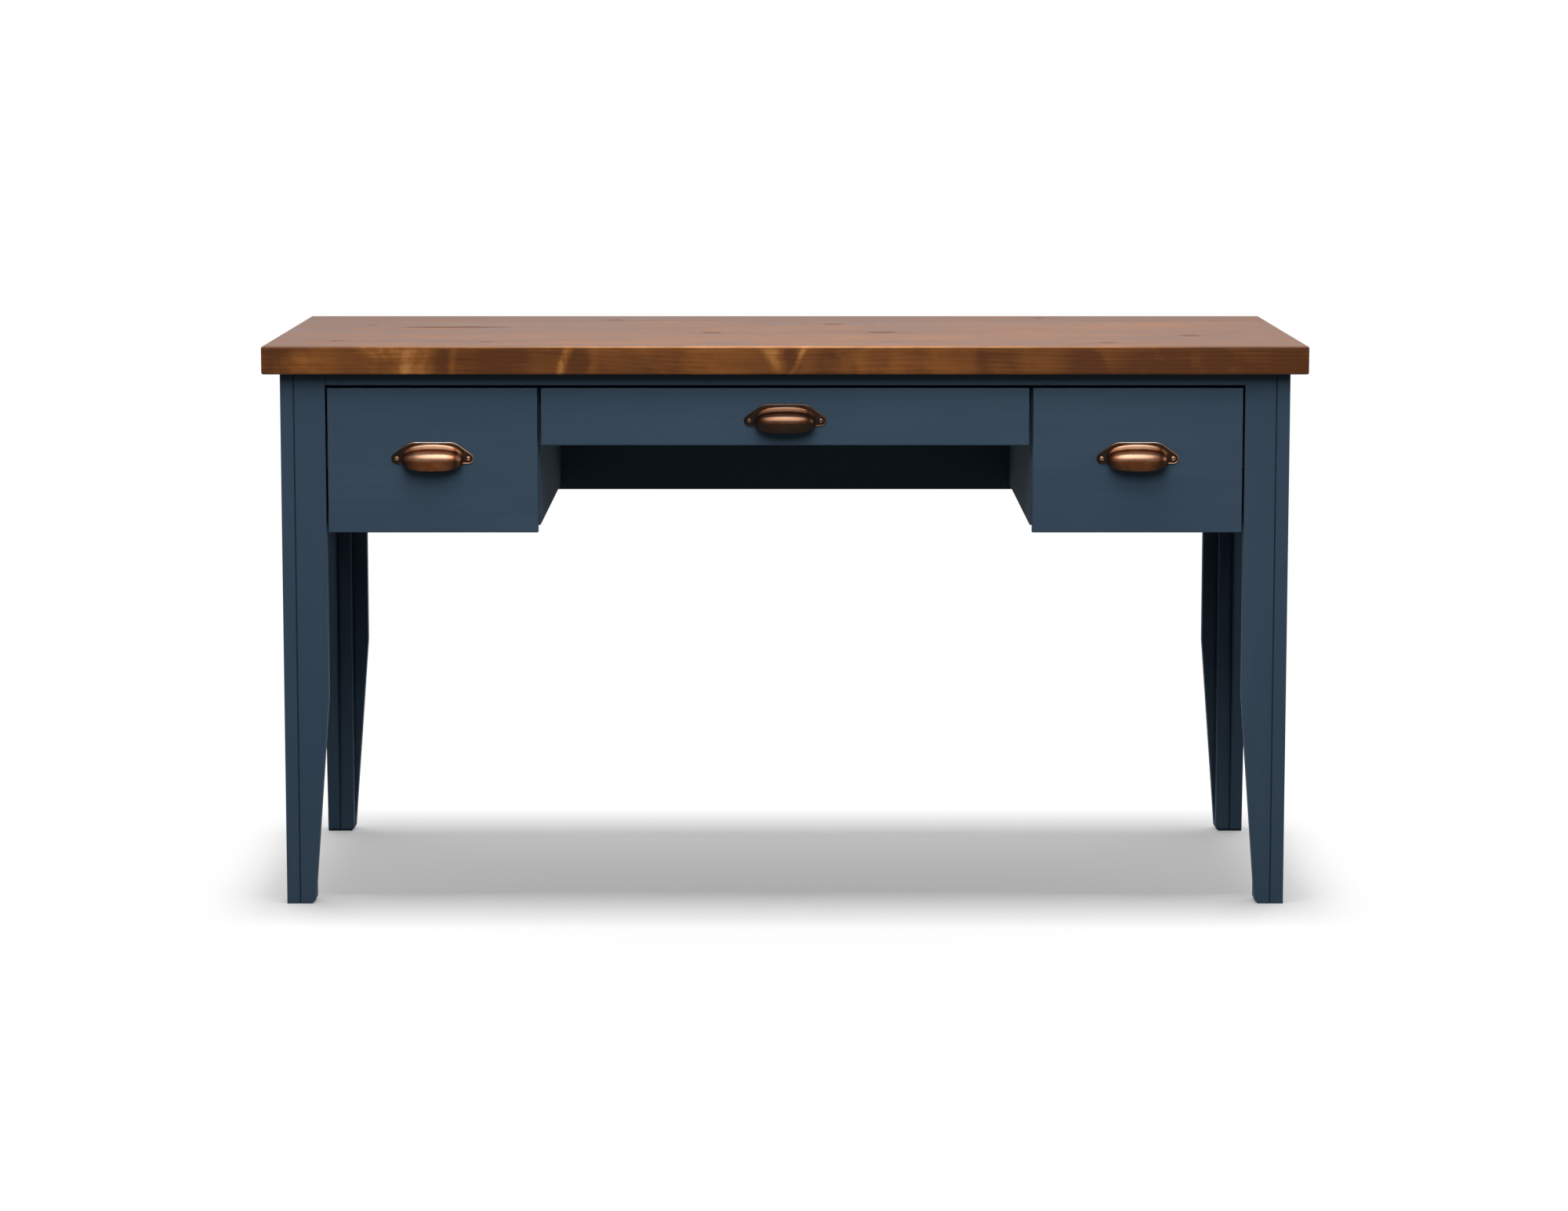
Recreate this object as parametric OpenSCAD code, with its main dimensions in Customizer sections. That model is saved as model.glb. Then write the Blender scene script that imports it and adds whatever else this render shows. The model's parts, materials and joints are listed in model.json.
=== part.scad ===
// Writing desk with a plank top, four tapered legs and three drawers on ball runners.
// Millimetres. The origin is on the floor under the middle of the top, +X is to the
// right as seen from the front, +Y runs to the back and +Z is up.

/* [Top] */
// Width of the top
top_w = 1400; // [1300:10:1600]
// Depth of the top, front to back
top_d = 610; // [570:5:700]
// Thickness of the top
top_t = 38; // [30:1:50]
// Number of boards glued side by side into the top
top_boards = 5; // [3:1:5]
// Radius of the top's eased outer edges
top_edge_r = 3; // [1:0.5:6]
// Overhang of the top beyond the frame on every side
overhang = 22; // [16:1:32]

/* [Frame] */
// Height of the desk
desk_h = 762; // [720:1:800]
// Thickness of the leg, apron and drawer front boards
board_t = 18; // [16:0.5:20]
// Width of a leg above its taper
leg_w = 60; // [54:1:72]
// Width of a leg at the floor
foot_w = 38; // [34:1:44]
// Height over which a leg tapers
taper_h = 284; // [200:1:400]
// Chamfer on the inner corner of each foot
foot_chamfer = 4; // [2:0.5:6]
// Depth of the V that marks the joint of a leg's two boards
joint_v = 1.2; // [0.6:0.1:2]
// Chamfer on the drawer fronts, the aprons and the rail
edge_chamfer = 0.8; // [0.4:0.1:1.5]
// Height of the side and back aprons
apron_h = 215; // [200:1:235]
// Height of the rail above the drawers
rail_h = 16; // [12:1:22]
// Thickness of that rail, front to back
rail_t = 20; // [19:0.5:24]
// How far the dividers stop above the aprons' lower edge
divider_lift = 8; // [4:1:14]
// Thickness of the panel under each side drawer
bay_floor_t = 12; // [9:0.5:14]
// Width of the square cleats that hold the top
cleat_w = 20; // [16:1:22]
// Diameter of the dowels in the frame's joints
dowel_d = 6; // [5:0.5:8]
// Length of the dowels
dowel_l = 36; // [28:2:40]

/* [Drawers] */
// Width of a side drawer's front
side_front_w = 282; // [240:1:330]
// Height of the centre drawer's front
centre_front_h = 77; // [74:1:100]
// Gap between the rail and the drawer fronts
gap_above = 4; // [2:0.5:6]
// Gap between a leg and the drawer front next to it
gap_leg = 3; // [2:0.5:5]
// Gap between two drawer fronts
gap_between = 5; // [3:0.5:8]
// Thickness of a drawer box's sides and back
box_t = 12; // [10:0.5:15]
// Clearance between a bay's floor and the side drawer's box
side_box_lift = 11; // [6:1:40]
// How far the centre drawer's box stops above the lower edge of its front
centre_box_lift = 7; // [4:1:10]
// Clearance between the rail and the drawer boxes
box_headroom = 18; // [14:1:20]
// Thickness of the drawer bottoms
bottom_t = 6; // [4:0.5:8]
// Depth of the grooves and housings that hold the drawer boards
groove_d = 6; // [4:0.5:8]
// Height of a drawer bottom above its box's lower edge
bottom_lift = 7; // [5:1:10]

// Clearance between the drawers and the back apron
back_gap = 28; // [22:1:60]

/* [Runners] */
// Height of a runner
runner_h = 35; // [32:1:42]
// Thickness of a runner, from the bay's wall to the drawer's side
runner_t = 12.7; // [12:0.1:14]
// Thickness of the runners' steel sheet
sheet_t = 1.2; // [1:0.1:1.5]
// How far a drawer pulls out
travel = 375; // [300:5:375]
// Distance from the backs of the drawer fronts to the runners
runner_inset = 2; // [1:0.5:6]
// Diameter of the bearing balls
ball_d = 5.2; // [4.6:0.1:5.6]
// Number of balls in each row of a cage
balls_per_row = 5; // [3:1:5]

/* [Pulls] */
// Distance between a pull's two screws
screw_pitch = 96; // [94:1:110]
// Radius of the ears that take the screws
ear_r = 7.5; // [6:0.5:9]
// Width of the cup
cup_w = 80; // [72:1:84]
// Height of the cup above its screws
cup_rise = 19; // [17:0.5:22]
// Depth of the cup below its screws
cup_drop = 17; // [14:0.5:22]
// How far the cup stands out from the drawer front
cup_reach = 21; // [18:0.5:24]
// Thickness of the cup's wall
cup_wall = 2; // [1.5:0.1:3]
// Width of the flange round the cup
flange_w = 3.2; // [2:0.1:4.5]
// Thickness of the flange
flange_t = 2; // [1.5:0.1:3]
// Height of a side drawer's screws above the middle of its front
side_pull_z = 3; // [-20:1:20]
// Height of the centre drawer's screws above the middle of its front
centre_pull_z = -5; // [-10:1:5]

/* [Hidden] */
$fn = 64;
// Overlap of a cut with the air beyond a face
cut = 1;
// Clearance of a screw or a dowel in its hole, all round
screw_fit = 0.05;

// The frame under the top
frame_w = top_w - 2 * overhang;
frame_d = top_d - 2 * overhang;
frame_h = desk_h - top_t;
face_y = -frame_d / 2;
front_back_y = face_y + board_t;
back_face_y = frame_d / 2 - board_t;
rail_back_y = face_y + rail_t;
leg_x = frame_w / 2 - leg_w;
panel_x = frame_w / 2 - board_t;
block_w = foot_w - board_t;
block_y = back_face_y - block_w;
apron_z = frame_h - apron_h;
rail_z = frame_h - rail_h;
bay_floor_z = apron_z + divider_lift;
cleat_z = frame_h - cleat_w;

// The dowels: as many in each end of an apron, and as deep into a board's face
dowels_per_joint = 3;
dowel_bite = 12;

// The drawer fronts and the bays behind them
front_top_z = rail_z - gap_above;
side_front_x = leg_x - gap_leg - side_front_w;
centre_front_w = 2 * (side_front_x - gap_between);
divider_x = side_front_x - gap_between / 2;
bay_edge_x = divider_x + board_t;
box_top_z = rail_z - box_headroom;

// A drawer is named by its side: -1 is the left one, 0 the centre one and 1 the right one.
SIDES = [-1, 0, 1];
function drawer_name(s) = ["left", "centre", "right"][s + 1];
function front_w(s) = s == 0 ? centre_front_w : side_front_w;
function front_x(s) = s * (side_front_x + side_front_w / 2);
function front_z(s) = s == 0 ? front_top_z - centre_front_h : apron_z;
function front_h(s) = front_top_z - front_z(s);
function bay_w(s) = s == 0 ? 2 * divider_x : leg_x - bay_edge_x;
function bay_x(s) = s * (leg_x + bay_edge_x) / 2;
function box_w(s) = bay_w(s) - 2 * runner_t;
function box_z(s) = s == 0 ? front_z(s) + centre_box_lift : bay_floor_z + bay_floor_t + side_box_lift;
function bottom_z(s) = box_z(s) + bottom_lift;
function runner_z(s) = (box_z(s) + box_top_z) / 2;
function pull_z(s) = front_z(s) + front_h(s) / 2 + (s == 0 ? centre_pull_z : side_pull_z);

// How far a packer reaches past its runner, above and below
packer_rim = 3;

// The runners: u runs from the bay's wall to the drawer, v up from the runner's middle
runner_y = front_back_y + runner_inset;
runner_end_y = back_face_y - back_gap;
runner_l = runner_end_y - runner_y;
case_lip_u = runner_t - sheet_t - 1.7;
box_lip_u = sheet_t + 2;
race_u = (box_lip_u + case_lip_u) / 2;
race_depth = 0.3;
race_gap = ball_d - 2 * race_depth;
race_v = runner_h / 2 - sheet_t - race_gap / 2;
race_r = ball_d / 2 + 0.05;
box_member_h = 2 * (race_v - race_gap / 2);

// The ball cages, midway along the runners
cage_t = 0.6;
cage_u = sheet_t + 0.5;
cage_lip_u = case_lip_u - 0.2;
cage_spare = 5;
cage_l = runner_l - travel - cage_spare;
cage_end_y = runner_y + (runner_l + cage_l) / 2;
ball_pitch = cage_l / balls_per_row;
pocket_r = ball_d / 2 + 0.1;

// The screws through the runners
case_screw_l = 14;
box_screw_l = 10;
screw_inset = 35;
runner_screw_y = [for (i = [0:2]) runner_y + screw_inset + i * (runner_l - 2 * screw_inset) / 2];

screw_r = 1.7;
countersink_r = 3.4;
countersink_h = 1.9;

// The screws that rise through the cleats into the top
top_screw_r = 2;
top_screw_head_r = 4;
top_screw_head_h = 2.5;
top_screw_grip = 20;
top_screw_tip = 1;

// The screws of the pulls
pull_screw_r = 1.6;
pull_screw_l = 13;
pull_screw_head_r = 3.6;
pull_screw_dome_r = 4.4;

// The pulls
pull_w = screw_pitch + 2 * ear_r;
cup_x = cup_w / 2 - cup_reach;
cup_z = cup_rise - cup_reach;
flange_drop = 6;
shoulder = [cup_x, cup_z] + (cup_reach + flange_w) * [cos(45), sin(45)];
ear_top = [screw_pitch / 2, 0] + ear_r * [cos(60), sin(60)];

board_w = top_d / top_boards;

BLUE = [0.22, 0.29, 0.35];
STAIN = [0.45, 0.28, 0.15];
BIRCH = [0.85, 0.75, 0.58];
PINE = [0.80, 0.68, 0.48];
COPPER = [0.62, 0.38, 0.24];
ZINC = [0.72, 0.73, 0.75];
STEEL = [0.82, 0.83, 0.85];

// ---- General shapes ----

// A box from one corner to the opposite one
module block(low, high) {
    translate(low) cube(high - low);
}

// An outline in X and Z, pushed from y to y + t
module push_y(y, t) {
    translate([0, y + t, 0]) rotate([90, 0, 0]) linear_extrude(t) children();
}

// An outline in Y and Z, pushed from x to x + t
module push_x(x, t) {
    translate([x, 0, 0]) rotate([90, 0, 90]) linear_extrude(t) children();
}

// A box with all four edges round its front face chamfered
module slab(low, high, c = edge_chamfer) {
    intersection() {
        translate([0, 0, low.z]) linear_extrude(high.z - low.z)
            polygon([[low.x + c, low.y], [high.x - c, low.y], [high.x, low.y + c],
                     [high.x, high.y], [low.x, high.y], [low.x, low.y + c]]);
        push_x(low.x, high.x - low.x)
            polygon([[low.y, low.z + c], [low.y + c, low.z], [high.y, low.z],
                     [high.y, high.z], [low.y + c, high.z], [low.y, high.z - c]]);
    }
}

// A rectangle from one corner to the opposite one, with round corners
module round_rectangle(low, high, r) {
    difference() {
        translate(low) square(high - low);
        for (a = [0, 1], b = [0, 1])
            translate([a == 0 ? low.x : high.x, b == 0 ? low.y : high.y])
                mirror([a, 0]) mirror([0, b]) difference() {
                    translate([-cut, -cut]) square(r + cut);
                    translate([r, r]) circle(r);
                }
    }
}

// What is drawn for the right side, on side s
module on_side(s) {
    mirror([s < 0 ? 1 : 0, 0, 0]) children();
}

// What is drawn for the right back corner, at the corner on sides sx and sy
module at_corner(sx, sy) {
    mirror([0, sy < 0 ? 1 : 0, 0]) on_side(sx) children();
}

// A countersunk screw that points along +X, with its head's face at the origin
module countersunk_screw(l, fit = 0) {
    rotate([0, 90, 0]) {
        cylinder(r1 = countersink_r + fit, r2 = screw_r + fit, h = countersink_h);
        cylinder(r = screw_r + fit, h = l + fit);
    }
}

// ---- Top ----

module top_slab() {
    intersection() {
        push_y(-top_d / 2, top_d)
            round_rectangle([-top_w / 2, frame_h], [top_w / 2, desk_h], top_edge_r);
        push_x(-top_w / 2, top_w)
            round_rectangle([-top_d / 2, frame_h], [top_d / 2, desk_h], top_edge_r);
    }
}

// Where the screws rise through the cleats: one to a board on each side, and three at the back
function top_screw_places() = concat(
    [for (s = [-1, 1], i = [0:top_boards - 1])
        [s * (panel_x - cleat_w / 2), 0.88 * board_w * (i - (top_boards - 1) / 2)]],
    [for (i = [-1:1]) [i * divider_x * 0.7, back_face_y - cleat_w / 2]]);

module top_screw(fit = 0) {
    translate([0, 0, cleat_z - top_screw_head_h])
        cylinder(r = top_screw_head_r, h = top_screw_head_h);
    translate([0, 0, cleat_z - cut])
        cylinder(r = top_screw_r + fit, h = cleat_w + top_screw_grip + cut + (fit > 0 ? top_screw_tip : 0));
}

module at_top_screws() {
    for (p = top_screw_places()) translate([p.x, p.y, 0]) children();
}

module top_board(i) {
    color(STAIN) difference() {
        intersection() {
            top_slab();
            block([-top_w, -top_d / 2 + i * board_w, 0],
                  [top_w, -top_d / 2 + (i + 1) * board_w, 2 * desk_h]);
        }
        at_top_screws() top_screw(screw_fit);
    }
}

module top_screws() {
    color(ZINC) at_top_screws() top_screw();
}

module top_cleats() {
    color(PINE) difference() {
        union() {
            for (s = [-1, 1]) on_side(s)
                block([panel_x - cleat_w, -block_y, cleat_z], [panel_x, block_y, frame_h]);
            block([-divider_x, back_face_y - cleat_w, cleat_z], [divider_x, back_face_y, frame_h]);
        }
        at_top_screws() top_screw(screw_fit);
    }
}

// ---- Legs ----

// A leg board seen on its broad face: w0 is where it starts from the leg's outer edge
module leg_outline(w0) {
    slope = (leg_w - foot_w) / taper_h;
    polygon([[w0, 0], [foot_w - foot_chamfer, 0], [foot_w + slope * foot_chamfer, foot_chamfer],
             [leg_w, taper_h], [leg_w, frame_h], [w0, frame_h]]);
}

// The half of the joint's V that is cut from the face board; the side board's half is its mirror image
module joint_chamfer() {
    translate([board_t, 0, -cut]) linear_extrude(frame_h + 2 * cut)
        polygon([[-cut, -cut], [joint_v + cut, -cut], [-cut, joint_v + cut]]);
}

// A leg's own axes: x and y run inwards from its outer corner
module at_leg(sx, sy) {
    at_corner(sx, sy) translate([frame_w / 2, frame_d / 2, 0])
        mirror([1, 0, 0]) mirror([0, 1, 0]) children();
}

module leg_face_board(sx, sy) {
    color(BLUE) difference() {
        at_leg(sx, sy) difference() {
            push_y(0, board_t) leg_outline(board_t);
            joint_chamfer();
        }
        at_dowels() dowel(screw_fit);
    }
}

module leg_side_board(sx, sy) {
    color(BLUE) difference() {
        at_leg(sx, sy) difference() {
            push_x(0, board_t) leg_outline(0);
            translate([2 * board_t, 0, 0]) mirror([1, 0, 0]) joint_chamfer();
        }
        at_dowels() dowel(screw_fit);
    }
}

// A corner block seen from either side
module corner_block_outline() {
    polygon([[board_t, 0], [foot_w - foot_chamfer, 0], [foot_w, foot_chamfer],
             [foot_w, frame_h], [board_t, frame_h]]);
}

module leg_corner_blocks() {
    color(BLUE) for (sx = [-1, 1], sy = [-1, 1]) at_leg(sx, sy) intersection() {
        push_y(board_t, block_w) corner_block_outline();
        push_x(board_t, block_w) corner_block_outline();
    }
}

// ---- Dowels ----

// A dowel along the X axis, with the joint that it bridges at the origin
module dowel(fit = 0) {
    rotate([0, 90, 0]) cylinder(r = dowel_d / 2 + fit, h = dowel_l + 2 * fit, center = true);
}

// Each dowel of the frame: in both ends of each apron, in the dividers' ends and in the rail's
module at_dowels() {
    divider_mid_x = divider_x + board_t / 2;
    side_mid_x = panel_x + board_t / 2;
    rail_mid_z = rail_z + rail_h / 2;
    for (s = [-1, 1]) on_side(s) {
        for (i = [0:dowels_per_joint - 1])
            translate([0, 0, apron_z + apron_h * (i + 0.5) / dowels_per_joint]) {
                for (e = [-1, 1])
                    translate([side_mid_x, e * (frame_d / 2 - leg_w), 0]) rotate([0, 0, 90]) children();
                translate([leg_x, back_face_y + board_t / 2, 0]) children();
                translate([divider_mid_x, back_face_y + dowel_bite - dowel_l / 2, 0])
                    rotate([0, 0, 90]) children();
            }
        translate([leg_x, face_y + board_t / 2, rail_mid_z]) children();
        translate([divider_mid_x, rail_back_y - dowel_bite + dowel_l / 2, rail_mid_z])
            rotate([0, 0, 90]) children();
    }
}

module dowels() {
    color(BIRCH) at_dowels() dowel();
}

// ---- Aprons, rail and bays ----

module front_rail() {
    color(BLUE) difference() {
        slab([-leg_x, face_y, rail_z], [leg_x, rail_back_y, frame_h]);
        at_dowels() dowel(screw_fit);
    }
}

module back_apron() {
    color(BLUE) difference() {
        mirror([0, 1, 0]) slab([-leg_x, -frame_d / 2, apron_z], [leg_x, -back_face_y, frame_h]);
        at_dowels() dowel(screw_fit);
    }
}

module side_apron(s) {
    half = frame_d / 2 - leg_w;
    color(BLUE) difference() {
        on_side(s) rotate([0, 0, 90])
            slab([-half, -frame_w / 2, apron_z], [half, -panel_x, frame_h]);
        at_dowels() dowel(screw_fit);
    }
}

// The space of the corner blocks at both ends of a right-hand bay
module corner_block_room() {
    for (sy = [-1, 1]) at_leg(1, sy)
        block([board_t, board_t, -cut], [foot_w, foot_w, frame_h + cut]);
}

module divider(s) {
    color(BLUE) difference() {
        on_side(s) block([divider_x, rail_back_y, bay_floor_z], [bay_edge_x, back_face_y, frame_h]);
        at_runner(s, -s) case_screw_row(screw_fit);
        at_runner(0, s) case_screw_row(screw_fit);
        at_dowels() dowel(screw_fit);
    }
}

module bay_floor(s) {
    color(BLUE) on_side(s) difference() {
        block([bay_edge_x, rail_back_y, bay_floor_z], [panel_x, back_face_y, bay_floor_z + bay_floor_t]);
        corner_block_room();
    }
}

// The packers bring the outer runners of the side bays in line with the legs' inner edges
module runner_packers() {
    half = runner_h / 2 + packer_rim;
    color(PINE) for (s = [-1, 1]) difference() {
        on_side(s) difference() {
            block([leg_x, front_back_y, runner_z(s) - half], [panel_x, back_face_y, runner_z(s) + half]);
            corner_block_room();
        }
        at_runner(s, s) case_screw_row(screw_fit);
    }
}

// ---- Runners ----

// A runner's own axes on the bay wall at side e of drawer s: x is u and z is v
module at_runner(s, e) {
    translate([bay_x(s) + e * bay_w(s) / 2, 0, runner_z(s)])
        mirror([e > 0 ? 1 : 0, 0, 0]) children();
}

module at_both_runners(s) {
    for (e = [-1, 1]) at_runner(s, e) children();
}

module at_runner_screws() {
    for (y = runner_screw_y) translate([0, y, 0]) children();
}

module case_screw_row(fit = 0) {
    at_runner_screws() translate([sheet_t, 0, 0]) mirror([1, 0, 0])
        countersunk_screw(case_screw_l, fit);
}

module box_screw_row(fit = 0) {
    at_runner_screws() translate([runner_t - sheet_t, 0, 0]) countersunk_screw(box_screw_l, fit);
}

// A steel channel h high, from u0 to u1, whose wall is at u0 or, if it is turned, at u1
module channel(u0, u1, h, turned) {
    difference() {
        translate([u0, -h / 2]) square([u1 - u0, h]);
        translate([turned ? u0 - cut : u0 + sheet_t, sheet_t - h / 2])
            square([u1 - u0 - sheet_t + cut, h - 2 * sheet_t]);
        for (side = [-1, 1]) translate([race_u, side * race_v]) circle(race_r);
    }
}

module case_runners(s) {
    color(ZINC) at_both_runners(s) difference() {
        push_y(runner_y, runner_l) channel(0, case_lip_u, runner_h, false);
        case_screw_row(screw_fit);
    }
}

module box_runners(s) {
    color(ZINC) at_both_runners(s) difference() {
        push_y(runner_y, runner_l) channel(box_lip_u, runner_t, box_member_h, true);
        box_screw_row(screw_fit);
    }
}

module at_balls() {
    for (side = [-1, 1], i = [0:balls_per_row - 1])
        translate([race_u, cage_end_y - (i + 0.5) * ball_pitch, side * race_v]) children();
}

module ball_cage() {
    half = race_v + cage_t / 2;
    difference() {
        push_y(cage_end_y - cage_l, cage_l) difference() {
            translate([cage_u, -half]) square([cage_lip_u - cage_u, 2 * half]);
            translate([cage_u + cage_t, cage_t - half])
                square([cage_lip_u - cage_u, 2 * (half - cage_t)]);
        }
        at_balls() cylinder(r = pocket_r, h = 4 * cage_t, center = true);
    }
}

module ball_cages(s) {
    color(STEEL) at_both_runners(s) {
        ball_cage();
        at_balls() sphere(d = ball_d);
    }
}

module case_runner_screws() {
    color(ZINC) for (s = SIDES) at_both_runners(s) case_screw_row();
}

module box_runner_screws(s) {
    color(ZINC) at_both_runners(s) box_screw_row();
}

// ---- Drawer boxes ----

module drawer_front(s) {
    x = front_x(s);
    z = front_z(s);
    color(BLUE) difference() {
        slab([x - front_w(s) / 2, face_y, z], [x + front_w(s) / 2, front_back_y, z + front_h(s)]);
        for (e = [-1, 1]) side_space(s, e);
        bottom_space(s);
        at_pull(s) pull_screw_pair(screw_fit);
    }
}

// The room that a side board takes up, from its housing in the front to the back of the box
module side_space(s, e) {
    x = bay_x(s) + e * (box_w(s) - box_t) / 2;
    block([x - box_t / 2, front_back_y - groove_d, box_z(s)], [x + box_t / 2, runner_end_y, box_top_z]);
}

// The room that the bottom takes up, with its edges in the grooves
module bottom_space(s) {
    half = box_w(s) / 2 - box_t + groove_d;
    block([bay_x(s) - half, front_back_y - groove_d, bottom_z(s)],
          [bay_x(s) + half, runner_end_y, bottom_z(s) + bottom_t]);
}

module drawer_side(s, e) {
    color(BIRCH) difference() {
        side_space(s, e);
        bottom_space(s);
        at_both_runners(s) box_screw_row(screw_fit);
    }
}

module drawer_back(s) {
    half = box_w(s) / 2 - box_t;
    color(BIRCH) block([bay_x(s) - half, runner_end_y - box_t, bottom_z(s) + bottom_t],
                       [bay_x(s) + half, runner_end_y, box_top_z]);
}

module drawer_bottom(s) {
    color(BIRCH) bottom_space(s);
}

// ---- Cup pulls ----

// A pull's own axes: on the face of drawer s, midway between its screws
module at_pull(s) {
    translate([front_x(s), face_y, pull_z(s)]) children();
}

// The cup's wall, cut from front to back: X runs out from the drawer, and Z is up from the screws
module cup_section() {
    translate([0, cup_z]) intersection() {
        difference() {
            circle(cup_reach);
            circle(cup_reach - cup_wall);
        }
        square(cup_reach + cut);
    }
    translate([cup_reach - cup_wall, -cup_drop]) square([cup_wall, cup_drop + cup_z]);
}

// The outline of the cup on the drawer, with its surface let out by w and open below z
module cup_outline(w, z) {
    r = cup_reach + w;
    difference() {
        union() {
            for (e = [-1, 1]) translate([e * cup_x, cup_z]) circle(r);
            translate([-cup_x, cup_z]) square([2 * cup_x, r]);
            translate([-cup_x - r, z]) square([2 * (cup_x + r), cup_z - z]);
        }
        translate([-pull_w, z - 2 * pull_w]) square(2 * pull_w);
    }
}

// One of the two ears that take the screws, on the right side
module ear_outline() {
    translate([screw_pitch / 2, 0]) circle(ear_r);
    polygon([[cup_x, -flange_drop], [screw_pitch / 2, -ear_r], ear_top, shoulder, [cup_x, 0]]);
}

module flange_outline() {
    difference() {
        union() {
            cup_outline(flange_w, -flange_drop);
            for (e = [0, 1]) mirror([e, 0]) ear_outline();
        }
        cup_outline(-cup_wall / 2, -cup_drop - cut);
    }
}

module cup_pull(s) {
    color(COPPER) at_pull(s) difference() {
        union() {
            rotate([90, 0, -90]) translate([0, 0, -cup_x]) linear_extrude(2 * cup_x) cup_section();
            for (e = [0, 1]) mirror([e, 0, 0]) translate([cup_x, 0, 0]) rotate([0, 0, -90])
                rotate_extrude(angle = 90) cup_section();
            push_y(-flange_t, flange_t) flange_outline();
        }
        pull_screw_pair(screw_fit);
    }
}

// Two round-headed screws through a pull's ears
module pull_screw_pair(fit = 0) {
    dome_y = -flange_t + sqrt(pow(pull_screw_dome_r, 2) - pow(pull_screw_head_r, 2));
    for (e = [-1, 1]) translate([e * screw_pitch / 2, 0, 0]) {
        intersection() {
            translate([0, dome_y, 0]) sphere(pull_screw_dome_r);
            block([-ear_r, -pull_w, -ear_r], [ear_r, -flange_t, ear_r]);
        }
        translate([0, -flange_t - cut, 0]) rotate([-90, 0, 0])
            cylinder(r = pull_screw_r + fit, h = pull_screw_l + cut + fit);
    }
}

module pull_screws(s) {
    color(COPPER) at_pull(s) pull_screw_pair();
}

// ---- The desk ----

for (i = [0:top_boards - 1])
    top_board(i);
for (sx = [-1, 1], sy = [-1, 1]) {
    leg = str(sy < 0 ? "front" : "back", sx < 0 ? "_left" : "_right", "_leg_");
    leg_face_board(sx, sy);
    leg_side_board(sx, sy);
}
leg_corner_blocks();
front_rail();
back_apron();
for (s = [-1, 1]) {
    side = drawer_name(s);
    side_apron(s);
    divider(s);
    bay_floor(s);
}
runner_packers();
dowels();
top_cleats();
top_screws();
case_runner_screws();
for (s = SIDES) {
    drawer = str(drawer_name(s), "_drawer_");
    drawer_front(s);
    drawer_side(s, -1);
    drawer_side(s, 1);
    drawer_back(s);
    drawer_bottom(s);
    cup_pull(s);
    pull_screws(s);
    case_runners(s);
    ball_cages(s);
    box_runners(s);
    box_runner_screws(s);
}
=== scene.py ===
"""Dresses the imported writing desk: a stained pine top, a blue painted frame with three drawers,
aged copper cup pulls and ball-bearing runners, on the pale floor of a soft studio."""

import json
import math

import bmesh
import bpy
from mathutils import Matrix, Vector

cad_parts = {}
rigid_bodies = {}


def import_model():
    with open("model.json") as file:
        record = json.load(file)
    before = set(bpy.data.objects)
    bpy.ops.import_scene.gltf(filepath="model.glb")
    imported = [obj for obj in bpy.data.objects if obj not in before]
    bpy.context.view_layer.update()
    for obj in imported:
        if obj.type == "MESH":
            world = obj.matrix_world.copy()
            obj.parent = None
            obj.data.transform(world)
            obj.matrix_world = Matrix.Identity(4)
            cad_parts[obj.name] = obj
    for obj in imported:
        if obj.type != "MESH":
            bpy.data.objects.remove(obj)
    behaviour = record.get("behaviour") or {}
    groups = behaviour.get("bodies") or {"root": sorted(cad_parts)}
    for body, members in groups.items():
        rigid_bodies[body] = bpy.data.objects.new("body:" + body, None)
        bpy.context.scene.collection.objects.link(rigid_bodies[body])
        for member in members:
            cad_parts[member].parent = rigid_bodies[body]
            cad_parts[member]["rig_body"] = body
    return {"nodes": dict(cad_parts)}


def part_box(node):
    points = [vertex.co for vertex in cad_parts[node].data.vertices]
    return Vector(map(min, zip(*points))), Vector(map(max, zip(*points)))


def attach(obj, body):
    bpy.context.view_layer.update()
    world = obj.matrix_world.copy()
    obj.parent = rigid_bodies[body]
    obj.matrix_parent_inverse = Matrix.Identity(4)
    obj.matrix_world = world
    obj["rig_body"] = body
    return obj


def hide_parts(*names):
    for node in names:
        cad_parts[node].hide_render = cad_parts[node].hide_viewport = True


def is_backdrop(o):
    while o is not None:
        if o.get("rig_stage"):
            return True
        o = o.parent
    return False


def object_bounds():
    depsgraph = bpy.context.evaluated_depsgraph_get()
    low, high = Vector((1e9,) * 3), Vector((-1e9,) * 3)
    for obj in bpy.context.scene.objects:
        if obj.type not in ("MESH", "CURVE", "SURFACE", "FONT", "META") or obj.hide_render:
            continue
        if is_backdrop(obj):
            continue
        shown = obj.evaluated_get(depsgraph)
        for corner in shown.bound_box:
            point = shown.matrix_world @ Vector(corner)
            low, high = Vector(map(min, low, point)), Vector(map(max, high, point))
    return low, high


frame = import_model()
cad_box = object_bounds()

bl_info = {
    "name": "Writing desk finishes",
    "version": (1, 0, 0),
    "blender": (4, 5, 0),
    "location": "View3D > Sidebar > Desk",
    "description": "Stained top, painted frame, copper cup pulls and runners for the writing desk",
    "category": "Object",
}

SIDES = ("left", "centre", "right")
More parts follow.
